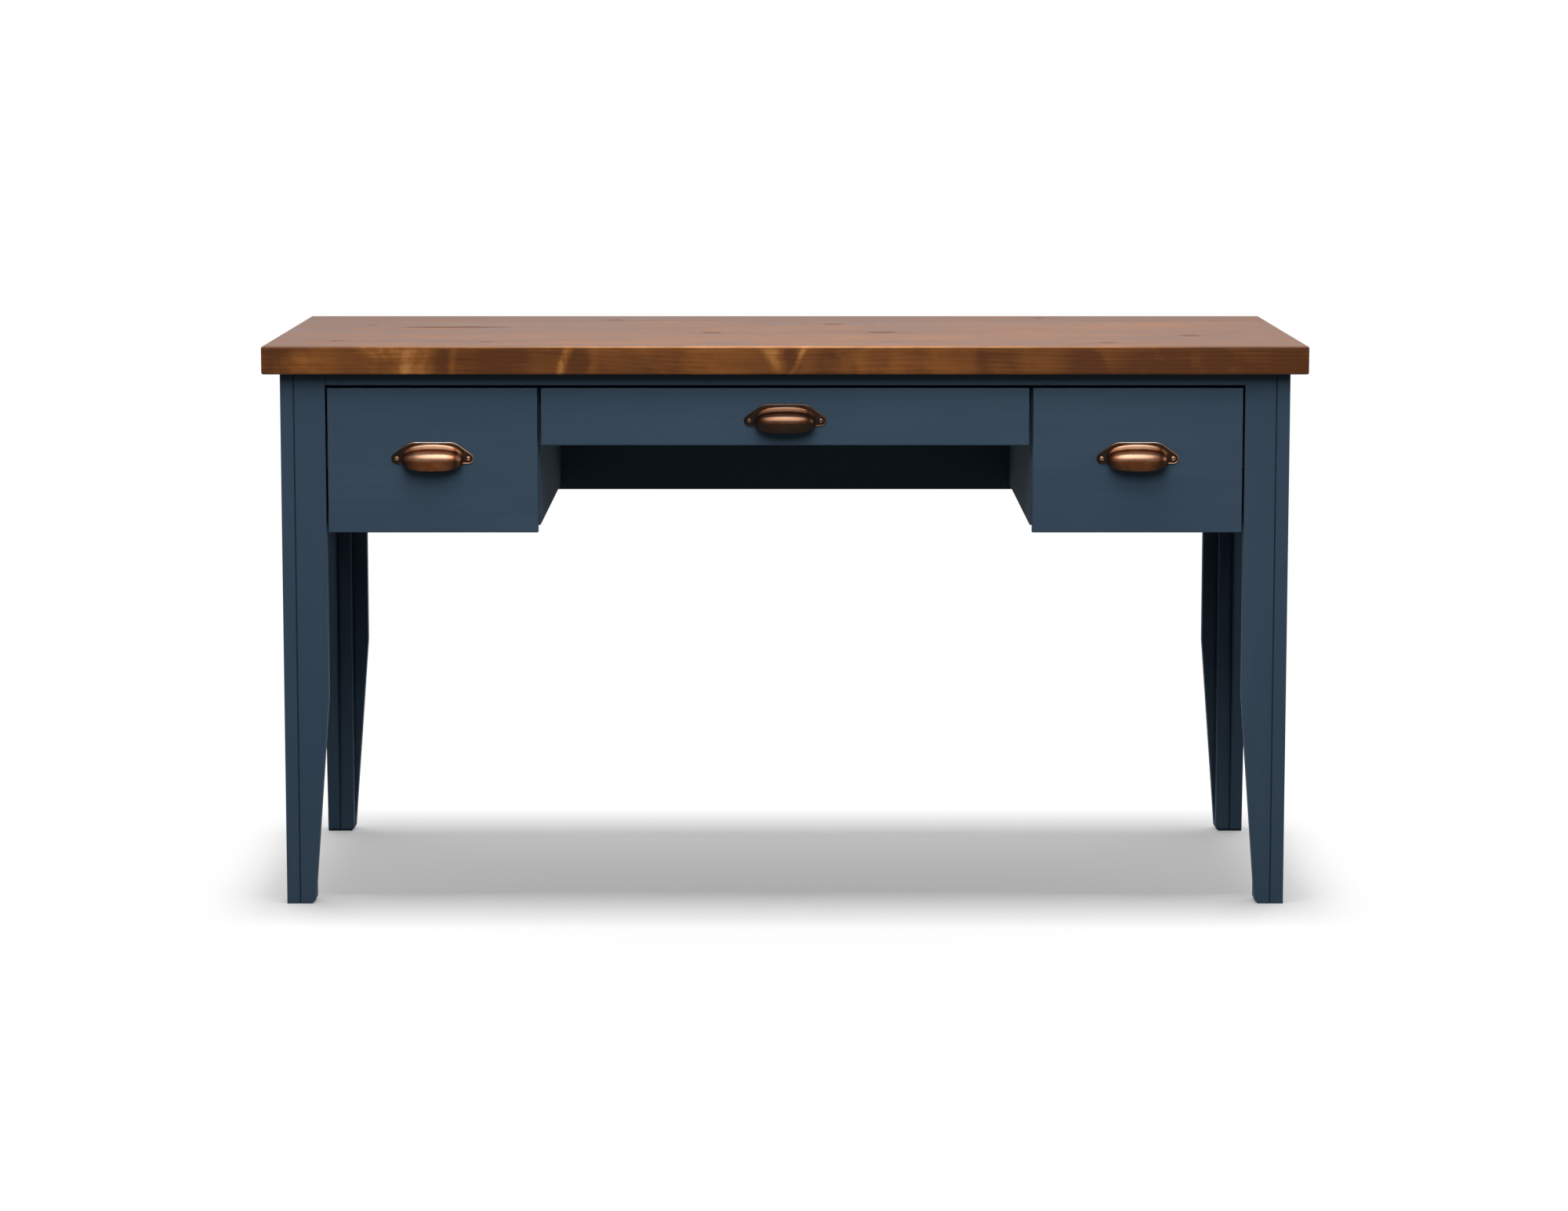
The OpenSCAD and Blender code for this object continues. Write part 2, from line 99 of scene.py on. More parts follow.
# How much of the dark patina lies over each pull. It is partly patina and partly painted shade: on the
# centre pull it darkens and dulls the whole pull, and its lower half most.
PATINA_AND_SHADE = {"left": 0.0, "centre": 0.62, "right": 0.06}
CORNERS = ("front_left", "front_right", "back_left", "back_right")
BOARDS = sorted(name for name in frame["nodes"] if name.startswith("top_board_"))
BOARD_LOW, BOARD_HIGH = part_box(BOARDS[0])
BOARD_WIDTH = BOARD_HIGH.y - BOARD_LOW.y
TOP_MIDDLE = (BOARD_LOW.z + BOARD_HIGH.z) / 2
# How far below the middle of a board its pith lies
PITH_DEPTH = 0.060
# A dark streak in the top: where its middle lies along and across, and half of its length and width
STREAK_PLACE = (-0.47, 0.068)
STREAK_HALF = (0.09, 0.017)
# Where along the top's front edge hands and sleeves rub it most, and where the painted highlight along
# its arris is brightest
WORN_AND_LIT_PLACE = 0.02

# Thread of the wood screws: from turn to turn, and its share of the screw's length
THREAD_PITCH = 0.0016
THREAD_SHARE = 0.6

# How far to the right of the desk's middle the camera stands
CAMERA_ASIDE = -0.0015
# Soft boxes: name, the setting with its watts, width and height, how high it hangs and how far
# round to the right it stands, both in degrees, and how far away
SOFT_BOXES = (
    ("overhead_lamp", "overhead", (1.2, 2.6), 89, 0, 8.0),
    ("front_lamp", "front", (2.6, 3.0), 54, 0, 2.6),
    ("back_lamp", "back", (2.6, 2.1), 140, 0, 2.6),
    ("left_lamp", "side", (2.2, 1.2), 14, -94, 3.2),
    ("right_lamp", "side", (2.2, 1.2), 14, 94, 3.2),
)
# Soft boxes lower than this are turned to the drawer fronts, the others to the middle of the desk
STEEP = 80
SEEN_IN_GLOSS = ("overhead_lamp", "front_lamp", "right_lamp")

# From ring to ring in a knot
KNOT_RING_GAP = 0.0014
# Knots in the top: place along and across it, radius, and lean along the board per metre of height
KNOTS = (
    (-0.612, -0.205, 0.0085, 0.20),
    (-0.103, -0.046, 0.0115, 0.05),
    (0.437, -0.236, 0.0100, 0.00),
    (0.560, -0.098, 0.0120, 0.08),
    (-0.405, -0.222, 0.0075, 0.00),
    (0.134, -0.038, 0.0165, 0.10),
    (-0.590, 0.108, 0.0065, 0.05),
    (0.071, 0.128, 0.0125, -0.10),
    (-0.248, 0.221, 0.0090, 0.06),
    (0.372, 0.257, 0.0070, 0.00),
)

# Bands of lighter and darker stain across the front edge: place along it at half height, half of
# the width, lean along the edge per metre of height, and how much lighter
BANDS = (
    (-0.682, 0.030, 0.0, -0.14),
    (-0.628, 0.044, 0.1, 0.15),
    (-0.508, 0.056, 0.0, 0.28),
    (-0.504, 0.011, 0.1, 0.14),
    (-0.481, 0.012, 0.0, 0.08),
    (-0.459, 0.013, 0.0, -0.18),
    (-0.444, 0.0065, 0.1, 0.17),
    (-0.370, 0.072, 0.0, -0.05),
    (-0.297, 0.0095, 0.2, 0.42),
    (-0.277, 0.018, 0.2, -0.14),
    (-0.256, 0.010, 0.1, 0.14),
    (-0.205, 0.050, 0.0, -0.06),
    (-0.100, 0.080, 0.2, 0.14),
    (-0.014, 0.0185, -0.62, 0.31),
    (0.006, 0.0200, 0.12, -0.34),
    (0.0175, 0.0064, 0.48, 0.36),
    (0.062, 0.044, 0.0, -0.22),
    (0.104, 0.012, 0.0, 0.07),
    (0.148, 0.020, 0.0, 0.12),
    (0.220, 0.070, 0.0, 0.16),
    (0.268, 0.018, 0.1, -0.14),
    (0.330, 0.050, 0.0, 0.05),
    (0.400, 0.044, 0.0, -0.16),
    (0.490, 0.060, 0.0, -0.12),
    (0.580, 0.026, 0.0, -0.14),
    (0.672, 0.030, 0.0, -0.16),
)


# Settings that a user would change

def length(name, description, default):
    return bpy.props.FloatProperty(
        name=name, description=description, default=default, min=0, precision=4, unit="LENGTH"
    )


def number(name, description, default, high=10.0, low=0.0):
    return bpy.props.FloatProperty(
        name=name, description=description, default=default, min=low, max=high
    )


def colour(name, description, default):
    return bpy.props.FloatVectorProperty(
        name=name, description=description, default=default, min=0, max=1, size=3, subtype="COLOR"
    )


class DeskTopSettings(bpy.types.PropertyGroup):
    """Stain and lacquer of the top."""

    dark: colour("Dark stain", "Stain where the wood soaked it up", (0.076, 0.0220, 0.0034))
    middle: colour("Stain", "Stain over most of a board", (0.176, 0.0585, 0.0090))
    light: colour("Light stain", "Stain over the harder wood", (0.390, 0.166, 0.048))
    # The golden stain also shows in the painted highlight along the middle of the top's front arris
    gold: colour("Golden stain", "Stain on rims of knots and rubbed edges", (0.560, 0.290, 0.115))
    ring_gap: length("Ring gap", "Distance between growth rings", 0.0040)
    roughness: number("Roughness", "Roughness of the satin lacquer", 0.46, 1.0)


class DeskPaintSettings(bpy.types.PropertyGroup):
    """Paint of the frame and the drawer fronts."""

    blue: colour("Blue", "Colour of the paint", (0.0325, 0.0580, 0.0900))
    thin: colour("Thin blue", "Colour where the paint lies thin", (0.0400, 0.0670, 0.0990))
    roughness: number("Roughness", "Roughness of the matt paint", 0.68, 1.0)
    arris: length("Eased edge", "Width of the sanded edge of each painted board", 0.0008)


class DeskTimberSettings(bpy.types.PropertyGroup):
    """Timber of the drawer boxes, the dowels and the hidden packing."""

    birch: colour("Birch", "Early wood of the drawer boxes", (0.46, 0.335, 0.195))
    birch_ring: colour("Birch rings", "Late wood of the drawer boxes", (0.32, 0.195, 0.097))
    beech: colour("Beech", "Early wood of the dowels", (0.62, 0.42, 0.25))
    beech_ring: colour("Beech rings", "Late wood of the dowels", (0.40, 0.22, 0.11))
    pine: colour("Pine", "Early wood of the cleats and packers", (0.62, 0.42, 0.22))
    pine_ring: colour("Pine rings", "Late wood of the cleats and packers", (0.36, 0.19, 0.08))


class DeskSteelSettings(bpy.types.PropertyGroup):
    """Plated steel of the runners and the wood screws."""

    sheet: colour("Runner", "Zinc on the runners", (0.44, 0.45, 0.47))
    ball: colour("Ball", "Steel of the balls and their cages", (0.72, 0.73, 0.74))
    screw: colour("Screw", "Zinc on the wood screws", (0.58, 0.57, 0.52))
    # The black end of the fixed runners is painted shade, dark where they show through the gaps round
    # the drawer fronts
    buffer: length("Buffer", "Length of the black buffer at the front of a fixed runner", 0.040)


class DeskPullSettings(bpy.types.PropertyGroup):
    """Shape and plating of the cup pulls."""

    plate: length("Plate", "Thickness of the backplate", 0.0010)
    bead: length("Bead", "Radius of the bead round the backplate", 0.0009)
    step: length("Step", "Height of the raised step above the cup", 0.0093)
    step_reach: length("Step reach", "How far the step stands out", 0.0062)
    cup: length("Cup", "Half of the cup's width", 0.0412)
    wall: length("Wall", "Thickness of the pressed wall", 0.0015)
    ear: length("Ear", "Radius of a screw ear", 0.0075)
    shoulder: length("Shoulder", "Radius of the backplate's shoulders", 0.024)
    screw: length("Screw head", "Radius of a pull screw's head", 0.0032)
    # These colours follow the rubbed marks, which hold painted light too: bare edge and rubbed copper
    # paint the highlights on bead, step and crown, bronze and patina the shade at cup ends, lip and over
    # the centre pull
    bare: colour("Bare edge", "Plating worn bright on the raised edges", (0.50, 0.43, 0.38))
    bright: colour("Rubbed copper", "Plating where hands and cloths rub it", (0.350, 0.205, 0.130))
    aged: colour("Aged copper", "Plating as it has darkened", (0.215, 0.066, 0.022))
    bronze: colour("Bronze", "Plating that nothing rubs", (0.052, 0.025, 0.013))
    dirt: colour("Patina", "Dark patina in the grooves", (0.020, 0.011, 0.007))


class DeskStageSettings(bpy.types.PropertyGroup):
    """Camera, lamps and floor."""

    distance: length("Distance", "From the camera to the middle of the desk", 5.973)
    height: length("Height", "Height of the camera above the floor", 1.179)
    lens: number("Lens", "Focal length in millimetres", 97.62, 400.0)
    down: bpy.props.FloatProperty(
        name="Tilt", description="How far the camera looks down", default=0.1233, subtype="ANGLE"
    )
    rise: number("Shift", "Vertical shift of the lens", -0.03, 1.0, -1.0)
    overhead: number("Overhead", "Watts of the soft box above", 450.0, 2000.0)
    front: number("Front", "Watts of the soft box in front", 121.0, 900.0)
    back: number("Back", "Watts of the soft box behind", 45.0, 900.0)
    side: number("Side", "Watts of the soft box at each side", 26.0, 900.0)
    room: number("Room", "Light from the wall behind the desk", 0.9)


# Node trees

class Value:
    """A socket in an expression: arithmetic on it adds the Math nodes that work it out."""

    def __init__(self, tree, socket):
        self.tree = tree
        self.socket = socket

    def __getitem__(self, output):
        return Value(self.tree, self.socket.node.outputs[output])

    def math(self, operation, *others):
        return self.tree.node("Math", {"operation": operation}, self, *others)

    def __add__(self, other):
        return self.math("ADD", other)

    def __sub__(self, other):
        return self.math("SUBTRACT", other)

    def __rsub__(self, other):
        return self.tree.node("Math", {"operation": "SUBTRACT"}, other, self)

    def __mul__(self, other):
        return self.math("MULTIPLY", other)

    def __truediv__(self, other):
        return self.math("DIVIDE", other)

    def __pow__(self, other):
        return self.math("POWER", other)

    def __abs__(self):
        return self.math("ABSOLUTE")

    __radd__ = __add__
    __rmul__ = __mul__


class Tree:
    """A node tree: each call adds a node, feeds its sockets and gives its first output."""

    def __init__(self, owner):
        owner.use_nodes = True
        self.tree = owner.node_tree
        self.tree.nodes.clear()

    def node(self, kind, settings=None, *values, **named):
        made = self.tree.nodes.new("ShaderNode" + kind)
        for name, setting in (settings or {}).items():
            if name == "stops":
                self.set_stops(made.color_ramp, setting)
            else:
                setattr(made, name, setting)
        open_sockets = [socket for socket in made.inputs if socket.enabled]
        for socket, value in zip(open_sockets, values):
            self.feed(socket, value)
        for name, value in named.items():
            wanted = name.replace("_", " ")
            self.feed(next(socket for socket in open_sockets if socket.name == wanted), value)
        outputs = [socket for socket in made.outputs if socket.enabled]
        return Value(self, outputs[0]) if outputs else None

    def feed(self, socket, value):
        if isinstance(value, Value):
            self.tree.links.new(value.socket, socket)
        elif socket.type == "RGBA":
            socket.default_value = (*value[:3], 1)
        else:
            socket.default_value = value

    @staticmethod
    def set_stops(ramp, stops):
        for index, (place, tint) in enumerate(stops):
            stop = ramp.elements[index] if index < 2 else ramp.elements.new(place)
            stop.position = place
            stop.color = (*tint[:3], 1)

    def smooth(self, value, low, high):
        """0 below low, 1 above high and a soft rise between them."""
        return self.node(
            "MapRange", {"interpolation_type": "SMOOTHSTEP"}, Value=value, From_Min=low, From_Max=high
        )

    def blend(self, share, first, second):
        """Two colours mixed: first where share is 0, second where it is 1."""
        return self.node("Mix", {"data_type": "RGBA"}, Factor=share, A=first, B=second)

    def noise(self, point, scales, detail, roughness=0.5):
        """Noise at a point whose three coordinates are each stretched by a scale."""
        vector = self.node("CombineXYZ", {}, *(part * scale for part, scale in zip(point, scales)))
        return self.node("TexNoise", {}, Vector=vector, Scale=1.0, Detail=detail, Roughness=roughness)

    def random(self, seed):
        return self.node("TexWhiteNoise", {"noise_dimensions": "1D"}, W=seed)

    def place(self, grain="X"):
        """The point's coordinates with the one along the grain first."""
        point = self.split("TexCoord", "Object")
        order = {"X": "XYZ", "Y": "YXZ", "Z": "ZXY"}[grain]
        return [point[axis] for axis in order]

    def split(self, kind, output):
        """An output of a node as three coordinates."""
        return self.node("SeparateXYZ", {}, self.node(kind)[output])

    def surface(self, **sockets):
        """Ends the tree in a Principled shader."""
        shader = self.node("BsdfPrincipled", {}, **sockets)
        self.node("OutputMaterial", {}, Surface=shader)

    def bump(self, height, strength, distance):
        return self.node("Bump", {}, Strength=strength, Distance=distance, Height=height)


def new_material(name):
    made = bpy.data.materials.new(name)
    return made, Tree(made)


def seen_rays(tree):
    """Which rays show the studio itself, straight or in gloss or glass, and which do it in gloss."""
    path = tree.node("LightPath")
    seen = path["Is Camera Ray"].math("MAXIMUM", path["Is Glossy Ray"])
    return seen.math("MAXIMUM", path["Is Transmission Ray"]), path["Is Glossy Ray"]


def dress(names, material):
    """Gives CAD nodes a material in place of the plain one that they were packed with."""
    for name in names:
        for slot in frame["nodes"][name].material_slots:
            slot.material = material


# Timber

def rings_at(tree, across, height, wobble, gap):
    """Growth rings round a pith: the distance from it, and where the late wood of each ring lies."""
    distance = (across * across + height * height) ** 0.5 + wobble
    phase = (distance / gap).math("FRACT")
    return tree.smooth(phase, 0.30, 0.92) * (1 - tree.smooth(phase, 0.92, 1.0))


def fibres(tree, point, fineness):
    """Fine streaks that run along the grain."""
    return tree.noise(point, (7, fineness, fineness), 3, 0.6)


class Knots:
    """Adds up the knots of the top: how far they push the rings aside, their shade, wood and bark."""

    def __init__(self, tree, point, board):
        self.tree = tree
        self.x, self.y, self.z = point
        self.board = board
        self.push = self.shade = self.wood = self.bark = self.rings = 0.0
        ragged = tree.noise(point, (130, 130, 55), 2)
        self.waver = (ragged - 0.5) * 0.006

    def add(self, along, across, radius, lean):
        tree = self.tree
        dx = self.x - along - (self.z - TOP_MIDDLE) * lean
        dy = self.y - across
        own_board = math.floor((across - BOARD_LOW.y) / BOARD_WIDTH)
        here = tree.node("Math", {"operation": "COMPARE"}, self.board, own_board, 0.5)
        reach = ((dx * 0.82) * (dx * 0.82) + dy * dy) ** 0.5 - radius + self.waver
        stretched = ((dx * 0.36) * (dx * 0.36) + dy * dy) ** 0.5
        swell = (stretched * (-1 / (1.2 * radius + 0.005))).math("EXPONENT") * here
        inside = (1 - tree.smooth(reach, -0.0022, 0.0012)) * here
        edge = (1 - tree.smooth(abs(reach), 0.0002, 0.0019)) * here
        self.push = swell * (1.5 * radius) + self.push
        self.shade = swell + self.shade
        self.wood = inside.math("MAXIMUM", self.wood)
        self.bark = edge.math("MAXIMUM", self.bark)
        self.rings = inside * reach + self.rings


def front_bands(tree, point, waver):
    """Bands of lighter and darker stain on the front edge, which fade out on the top."""
    x, y, z = point
    height = z - TOP_MIDDLE
    blotch = tree.noise(point, (85, 30, 60), 3, 0.6)
    total = 0.0
    for along, half, lean, lighter in BANDS:
        off = abs(x - along - height * lean + waver * (0.45 * half))
        total = (1 - tree.smooth(off, 0.1 * half, half)) * lighter + total
    total = total * (0.35 + blotch * 1.5)
    return total * (1 - tree.smooth(y, cad_box[0][1] + 0.001, cad_box[0][1] + 0.012))


def top_rings(tree, point, board, chance, knots, gap):
    """The late wood of the top's boards.

    The pith lies under each board and runs a little askew to it, so that arches show on the face.
    """
    x, y, z = point
    middle = (board + 0.5) * BOARD_WIDTH + BOARD_LOW.y
    across = y - middle - chance[0] * 0.05 + x * chance[2] * 0.04
    height = z - (TOP_MIDDLE - PITH_DEPTH) + chance[1] * 0.03 + x * chance[3] * 0.05
    drift = tree.noise((x * 1.6 + board * 5.1, y, z), (1, 6, 6), 2) - 0.5
    ripple = tree.noise(point, (14, 40, 40), 2) - 0.5
    wobble = drift * 0.030 + ripple * 0.0022 + knots.push
    return rings_at(tree, across, height, wobble, gap)


def from_arris(x, y, z):
    """How far a point lies from the nearest upper edge of the top."""
    off_x, off_y, off_z = abs(x) - cad_box[1][0], abs(y) - cad_box[1][1], z - cad_box[1][2]
    long_edge = (off_y * off_y + off_z * off_z) ** 0.5
    short_edge = (off_x * off_x + off_z * off_z) ** 0.5
    return long_edge.math("MINIMUM", short_edge)


def worn_edges_and_arris_light(tree, x, arris, face, waver):
    """How much stain is rubbed off at the upper edges, most of it in the middle of the desk, with a
    painted highlight there along the arris and painted shade along it towards the ends.
    """
    middling = 1 - tree.smooth(abs(x - WORN_AND_LIT_PLACE), 0.30, 0.62)
    corner = 1 - tree.smooth(arris + waver * 0.003, 0.0014, 0.0036)
    below = (1 - tree.smooth(arris, 0.001, 0.013)) * (1 - face)
    return corner * (middling * 0.36 - 0.10) + below * (middling * 0.14 - 0.02)


def dark_streak(tree, x, y, face, waver):
    """The streak of darker wood in one board of the top, which is a little duller too."""
    along = 1 - tree.smooth(abs(x - STREAK_PLACE[0]), 0.03, STREAK_HALF[0])
    off = abs(y - STREAK_PLACE[1] + waver * 0.02)
    return along * face * (1 - tree.smooth(off, 0.004, STREAK_HALF[1]))


def stained_pine(settings):
    """Flat-sawn pine boards under a brown stain and a satin lacquer."""
    material, tree = new_material("stained_pine")
    point = x, y, z = tree.place()
    boards = (y - BOARD_LOW.y) / BOARD_WIDTH
    board = boards.math("FLOOR")
    seam = tree.smooth(abs(boards.math("FRACT") - 0.5), 0.4915, 0.4985)
    chance = [tree.random(board + 3.7 * (turn + 1)) - 0.5 for turn in range(4)]
    knots = Knots(tree, point, board)
    for knot in KNOTS:
        knots.add(*knot)
    late = top_rings(tree, point, board, chance, knots, settings.ring_gap)

    streak = fibres(tree, point, 520) - 0.5
    coarse = tree.noise((x * 3 + board * 1.7, y, z), (1, 150, 60), 2, 0.6)
    cloud = tree.noise((x * 3.1 + board * 2.3, y, z), (1, 11, 16), 3, 0.55) - 0.5
    figure = tree.noise((x * 22 + z * 9, y * 16 + board * 4, z), (1, 1, 24), 3, 0.6) - 0.5
    up = tree.split("NewGeometry", "Normal")["Z"]
    # 1 on the upper and lower faces of the top, 0 on its edges
    face = tree.smooth(abs(up), 0.6, 1.0)
    ends = tree.smooth(abs(x), 0.35, 0.75) * face
    arris = from_arris(x, y, z)
    dull = dark_streak(tree, x, y, face, figure)

    tone = 0.45 + cloud * 0.95 + figure * (0.62 - face * 0.40) + streak * 0.34
    tone = tone + (coarse - 0.5) * (0.12 + face * 0.36) - late * (0.05 + face * 0.21)
    # The face term paints the faces of the top darker than its edges: painted shade, against the
    # stronger light that falls on them from above
    tone = tone - x * (0.16 - face * 0.21) + chance[1] * 0.22 - face * 0.27 - ends * 0.09
    knot_rings = (knots.rings / KNOT_RING_GAP).math("FRACT") * 0.14
    tone = tone - knots.wood * (0.24 + knot_rings) - knots.bark * 0.22 - knots.shade * 0.20
    tone = tone + front_bands(tree, point, figure * 4) * tree.smooth(arris, 0.0, 0.006)
    # Stain rubbed off at the upper edges, with a painted highlight and painted shade along the arris
    tone = tone + worn_edges_and_arris_light(tree, x, arris, face, figure)
    tone = tone - seam * 0.35 - dull * (0.18 + coarse * 0.24)
    stops = [(0.0, settings.dark), (0.42, settings.middle), (0.78, settings.light), (1.0, settings.gold)]
    roughness = settings.roughness + streak * 0.16 - late * 0.05 + cloud * 0.20
    grain_height = streak * 0.55 + late * 0.35 - knots.bark * 0.3 - seam * 1.5
    tree.surface(
        Base_Color=tree.node("ValToRGB", {"stops": stops}, tone),
        Roughness=roughness + dull * 0.42 + knots.wood * face * 0.20,
        Specular_IOR_Level=0.235,
        Normal=tree.bump(grain_height, 0.35, 0.0004),
    )
    return material


def plain_timber(name, pale, deep, grain, gap, roughness=0.6):
    """Planed timber with quiet rings: pale early wood and deep late wood, gap from ring to ring."""
    material, tree = new_material(name)
    point = tree.place(grain)
    drift = tree.noise(point, (2.2, 7, 7), 2) - 0.5
    late = rings_at(tree, point[1] * 0.35 + 0.05, point[2] * 0.35 + 0.03, drift * 0.05, gap)
    streak = fibres(tree, point, 430)
    cloud = tree.noise(point, (4, 12, 12), 2)
    tone = late * 0.45 + (streak - 0.5) * 0.55 + (cloud - 0.5) * 0.5 + 0.22
    tint = tree.node("ValToRGB", {"stops": [(0.0, pale), (1.0, deep)]}, tone)
    tree.surface(
        Base_Color=tint,
        Roughness=roughness + (streak - 0.5) * 0.2,
        Specular_IOR_Level=0.35,
        Normal=tree.bump(streak + late * 0.5, 0.30, 0.0003),
    )
    return material


# Paint

def blue_paint(settings, grain, joint=None):
    """Matt paint, sprayed and rubbed down, with the timber's grain faint beneath it.

    joint is how far from the middle of the desk each leg's joint lies. It shows as a dark line.
    """
    material, tree = new_material("blue_paint_" + grain.lower())
    point = tree.place(grain)
    brush = tree.noise(point, (5, 260, 260), 3, 0.6)
    cloud = tree.noise(point, (2.5, 9, 9), 3, 0.55)
    peel = tree.noise(point, (620, 620, 620), 1)
    # The boards of the legs, which meet in that joint, are rubbed down less than the others
    less = 0.07 if joint else 0.0
    wear = tree.smooth(cloud * 0.7 + brush * 0.3 - less, 0.36, 0.66)
    tint = tree.blend(wear, settings.blue, settings.thin)
    if joint:
        off = abs(abs(point[1]) - joint)
        line = (1 - tree.smooth(off, 0.0005, 0.0016)) * 0.6
        tint = tree.blend(line, tint, (0.006, 0.010, 0.015))
    tree.surface(
        Base_Color=tint,
        Roughness=settings.roughness + (cloud - 0.5) * 0.14 + (brush - 0.5) * 0.10,
        Specular_IOR_Level=0.12,
        Normal=tree.bump(brush * 0.7 + peel * 0.3, 0.22, 0.0002),
    )
    return material


def ease_edges(names, width):
    """Rounds the sharp edges of CAD boards by modifiers, which leave their meshes alone."""
    for name in names:
        board = frame["nodes"][name]
        weld = board.modifiers.new("weld", "WELD")
        weld.merge_threshold = 0.00001
        edge = board.modifiers.new("eased_edges", "BEVEL")
        edge.width = width
        edge.segments = 2
        edge.limit_method = "ANGLE"
        edge.angle_limit = math.radians(40)
        board.modifiers.new("normals", "WEIGHTED_NORMAL").keep_sharp = True


# Metal

def aged_copper(name, settings, patina):
    """Copper plate that is dark in the grooves and rubbed bright on the crown. The rubbed marks also
    carry painted highlights, reflections and shade.
    """
    material, tree = new_material(name)
    # The rubbed mark holds wear and painted light: highlights on the bead, step and crown, reflections
    # near the right end, shade at the cup ends and lip
    rubbed = tree.node("Attribute", {"attribute_name": "rubbed"})["Fac"]
    point = tree.place()
    mottle = tree.noise(point, (90, 90, 90), 3, 0.6)
    fleck = tree.noise(point, (700, 700, 700), 2)
    worn = tree.smooth(rubbed + (mottle - 0.5) * 0.5 + (fleck - 0.5) * 0.15, 0.25, 0.95)
    # Patina in the grooves and painted shade at the cup ends and lip both turn to the dark patina colour
    grime_and_shade = 1 - tree.smooth(rubbed + (mottle - 0.5) * 0.25, 0.02, 0.26)
    tint = tree.blend(worn, settings.aged, settings.bright)
    tint = tree.blend(tree.smooth(rubbed + (mottle - 0.5) * 0.2, 0.14, 0.40), settings.bronze, tint)
    tint = tree.blend(tree.smooth(rubbed + (mottle - 0.5) * 0.3, 1.02, 1.35), tint, settings.bare)
    # The patina share, which on the centre pull is partly painted shade
    tint = tree.blend(patina, tint, settings.bronze)
    tint = tree.blend(grime_and_shade, tint, settings.dirt)
    tree.surface(
        Base_Color=tint,
        Metallic=1 - grime_and_shade * 0.15,
        Roughness=0.40 + grime_and_shade * 0.22 + (mottle - 0.5) * 0.14,
        Normal=tree.bump(mottle * 0.6 + fleck * 0.4, 0.15, 0.0002),
    )
    return material


def zinc(name, tint, roughness, grain="Y", buffer=None):
    """Zinc plated steel with the lines that the rollers left.

    buffer is how far along the grain the black end at the front of a fixed runner reaches. That black
    end is painted shade, where the runners show through the gaps round the drawer fronts.
    """
    material, tree = new_material(name)
    point = tree.place(grain)
    line = tree.noise(point, (9, 1500, 1500), 2)
    cloud = tree.noise(point, (30, 60, 60), 2)
    darker = [part * 0.72 for part in tint]
    sheet = tree.blend(tree.smooth(cloud * 0.6 + line * 0.4, 0.35, 0.65), darker, tint)
    metal = 1.0
    # A black end: painted shade where the runner shows through the gaps round the drawer fronts
    if buffer:
        metal = tree.smooth(point[0], buffer - 0.001, buffer)
        sheet = tree.blend(metal, (0.004, 0.004, 0.004), sheet)
    tree.surface(
        Base_Color=sheet,
        Metallic=metal,
        Roughness=roughness + (line - 0.5) * 0.20 + (cloud - 0.5) * 0.12,
        Normal=tree.bump(line, 0.12, 0.0001),
    )
    return material


# Meshes

def stand_in(name, bm, material, node, sharp=40):
    """Makes a piece of a bmesh, smooth with sharp edges kept, that takes the place of a CAD node."""
    mesh = bpy.data.meshes.new(name)
    bmesh.ops.recalc_face_normals(bm, faces=bm.faces)
    bm.to_mesh(mesh)
    bm.free()
    mesh.shade_smooth()
    mesh.set_sharp_from_angle(angle=math.radians(sharp))
    mesh.materials.append(material)
    piece = bpy.data.objects.new(name, mesh)
    bpy.context.scene.collection.objects.link(piece)
    replaced = frame["nodes"][node]
    replaced.material_slots[0].material.name.split(".")[0]
    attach(piece, replaced["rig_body"])
    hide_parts(node)


def rubbed_and_lit_layer(bm):
    """The layer that says how much each vertex is rubbed, with painted highlight and shade in it too,
    made if it isn't there yet.
    """
    return bm.verts.layers.float.get("rubbed") or bm.verts.layers.float.new("rubbed")


def skin(bm, low, high, closed=True):
    """Faces between two rows of vertices, either of which may be one point or share points."""
    count = max(len(low), len(high))
    faces = []
    for step in range(count if closed else count - 1):
        after = (step + 1) % count
        corners = [
            low[step % len(low)], low[after % len(low)],
            high[after % len(high)], high[step % len(high)],
        ]
        faces.append(bm.faces.new(list(dict.fromkeys(corners))))
    return faces


def lathe(bm, profile, place, segments, marks=None):
    """Turns (radius, height) points round the local Z axis and gives the faces of each step."""
    layer = rubbed_and_lit_layer(bm)
    rows = []
    for index, (radius, height) in enumerate(profile):
        count = segments if radius > 0 else 1
        angles = [2 * math.pi * step / segments for step in range(count)]
        row = [
            bm.verts.new(place @ Vector((radius * math.cos(a), radius * math.sin(a), height)))
            for a in angles
        ]
        for vert in row:
            vert[layer] = marks[index] if marks else 0.5
        rows.append(row)
    return [skin(bm, low, high) for low, high in zip(rows, rows[1:])]


def cut(bm, faces, place, point, direction):
    """Cuts faces along a plane in local coordinates and gives the faces on both sides."""
    geometry = dict.fromkeys(item for face in faces for item in (face, *face.edges, *face.verts))
    split = bmesh.ops.bisect_plane(
        bm, geom=list(geometry), dist=1e-7,
        plane_co=place @ Vector(point), plane_no=place.to_3x3() @ Vector(direction),
    )
    return [item for item in split["geom"] if isinstance(item, bmesh.types.BMFace)]


